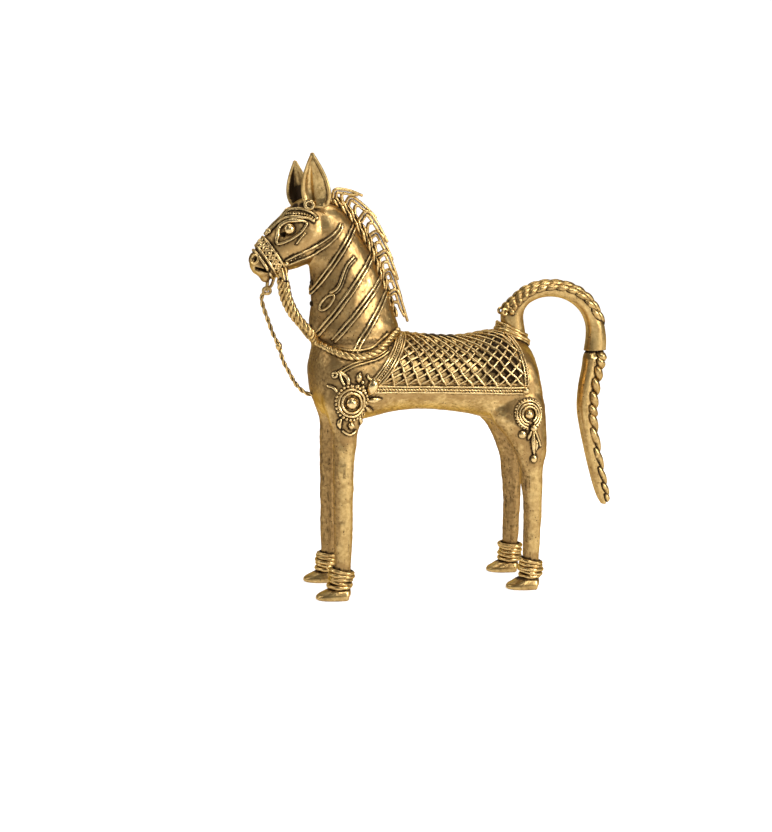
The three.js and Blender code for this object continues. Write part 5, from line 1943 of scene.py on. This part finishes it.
def skin_pieces():
    """Cuts the skin along its regions, keeping its normals so that no seam shows."""
    shade_and_stain = skin_shade_and_stain()
    groups = {}
    for polygon in skin_mesh.polygons:
        groups.setdefault(region(polygon.center / MM), []).append(tuple(polygon.vertices))
    normals = [v.normal.copy() for v in skin_mesh.vertices]
    for node, faces in sorted(groups.items()):
        used = sorted({corner for face in faces for corner in face})
        number = {corner: i for i, corner in enumerate(used)}
        mesh = bpy.data.meshes.new(node)
        corners = [tuple(skin_mesh.vertices[c].co) for c in used]
        mesh.from_pydata(corners, [], [tuple(number[c] for c in face) for face in faces])
        mesh.update()
        mesh.shade_smooth()
        mesh.normals_split_custom_set_from_vertices([normals[c] for c in used])
        for name, values in shade_and_stain.items():
            written(mesh, name, [values[c] for c in used])
        name = PIECE_NAMES.get(node, node.replace("leg", "shank"))
        finished(placed(name, mesh), "limb" if node.startswith("leg") else "skin", node)


# Studio

# The floor and the wall behind it: [behind the horse's middle, height]
BACKDROP = [[-2500, 0], [-1200, 0], [500, 0], [900, 0], [1300, 60], [1500, 260], [1560, 700], [1560, 2400]]
HALF_BACKDROP = 3500
PAPER = (0.82, 0.82, 0.82, 1)


def paper_white():
    """White paper that glows to the camera and in reflections, less far to the left and in front."""
    material = bpy.data.materials.new("paper_white")
    shader = Shader(material)
    view, glossy, passing = (
        shader.node("ShaderNodeLightPath", output=f"Is {kind} Ray")
        for kind in ("Camera", "Glossy", "Transmission")
    )
    seen = (view + glossy + passing).held()
    paper = shader.node("ShaderNodeBsdfDiffuse", {}, {"Color": PAPER})
    left, front = (
        0 - shader.node("ShaderNodeSeparateXYZ", {}, {0: shader.place()}, axis)
        for axis in (0, 1)
    )
    far = (shader.between(left, 0.22, 0.62) + shader.between(front, 0.36, 0.95)).held()
    falloff = shader.blend(far, (1, 1, 1, 1), (0.18, 0.18, 0.18, 1))
    glow = shader.node("ShaderNodeEmission", {}, {"Color": falloff, "Strength": 0.6})
    lit = shader.node("ShaderNodeAddShader", {}, {0: paper, 1: glow})
    surface = shader.node("ShaderNodeMixShader", {}, {0: seen, 1: paper, 2: lit})
    shader.node("ShaderNodeOutputMaterial", {}, {"Surface": surface})
    return material


def stage():
    """A pale floor and a white wall behind the horse."""
    floor = Clay()
    for i, (y, z) in enumerate(flow(BACKDROP, 8)):
        floor.points.extend((Vector((-HALF_BACKDROP, y, z)), Vector((HALF_BACKDROP, y, z))))
        if i:
            k = 2 * i
            floor.faces.append((k - 2, k - 1, k + 1, k))
    thing = floor.thing("studio_floor")
    thing.data.materials.append(paper_white())


def aimed(name, data, place, aim):
    """A light or camera that looks from a place at an aim."""
    thing = placed(name, data)
    thing.location = place
    thing.rotation_mode = "QUATERNION"
    thing.rotation_quaternion = (Vector(aim) - Vector(place)).to_track_quat("-Z", "Y")
    return thing


def softbox(name, place, size, power):
    light = bpy.data.lights.new(name, "AREA")
    light.shape = "RECTANGLE"
    light.size, light.size_y = size
    light.energy = power
    aimed(name, light, place, (0, 0, 0.1))


def studio():
    world = bpy.data.worlds.new("studio")
    bpy.context.scene.world = world
    shader = Shader(world)
    sky = shader.node("ShaderNodeBackground", {}, {"Color": (0.5, 0.5, 0.51, 1), "Strength": 0.28})
    shader.node("ShaderNodeOutputWorld", {}, {"Surface": sky})
    softbox("key_right", (0.85, -0.9, 0.5), (0.34, 0.42), 13)
    softbox("high", (0.1, -0.9, 1.0), (0.4, 0.4), 6)
    softbox("left_edge", (-1.2, 0.1, 0.7), (0.3, 0.8), 4)
    softbox("top", (0.1, 0.2, 1.3), (1.2, 0.6), 9)


CAMERA_PLACE = behind(-134.46, 92.34, -768.68)
CAMERA_AIM = behind(37.4, -37.17, 2.3)


def camera():
    """The photograph's view, from in front of the horse's left shoulder."""
    lens = bpy.data.cameras.new("photograph")
    lens.lens = 73.56
    lens.sensor_width = 36.0
    lens.clip_end = 20
    bpy.context.scene.camera = aimed("photograph", lens, CAMERA_PLACE * MM, CAMERA_AIM * MM)


neck_wraps()
on_both_sides("leaf_loop", neck_leaf, "neck_leaf")
throat_knobs()
noseband()
muzzle_wire()
nostrils()
on_both_sides("cheek_wires", cheek_strap, "cheek_strap")
on_both_sides("brow_wires", brow, "brow", shade_and_dirt=0.7)
eyes()
ears()
ear_curl()
crest_band()
mane_locks()
reins()
lead()
saddle_cloth()
front_border()
on_both_sides("rear_edge_wires", rear_border, "saddle_border_rear")
on_both_sides("lower_edge_wires", lower_border, "saddle_border", shade_and_dirt=0.85)
on_both_sides("shoulder_flower", shoulder_rosette, "shoulder_rosette", shade_and_dirt=0.75)
on_both_sides("hip_flower", hip_rosette, "hip_rosette", shade_and_dirt=0.7)
on_both_sides("hip_drops", hip_pendant, "hip_pendant", shade_and_dirt=0.7)
tail_collar()
tail_dock()
tail_switch()
feet()
skin_pieces()
stage()
studio()
camera()
bpy.context.scene.view_settings.view_transform = "Standard"
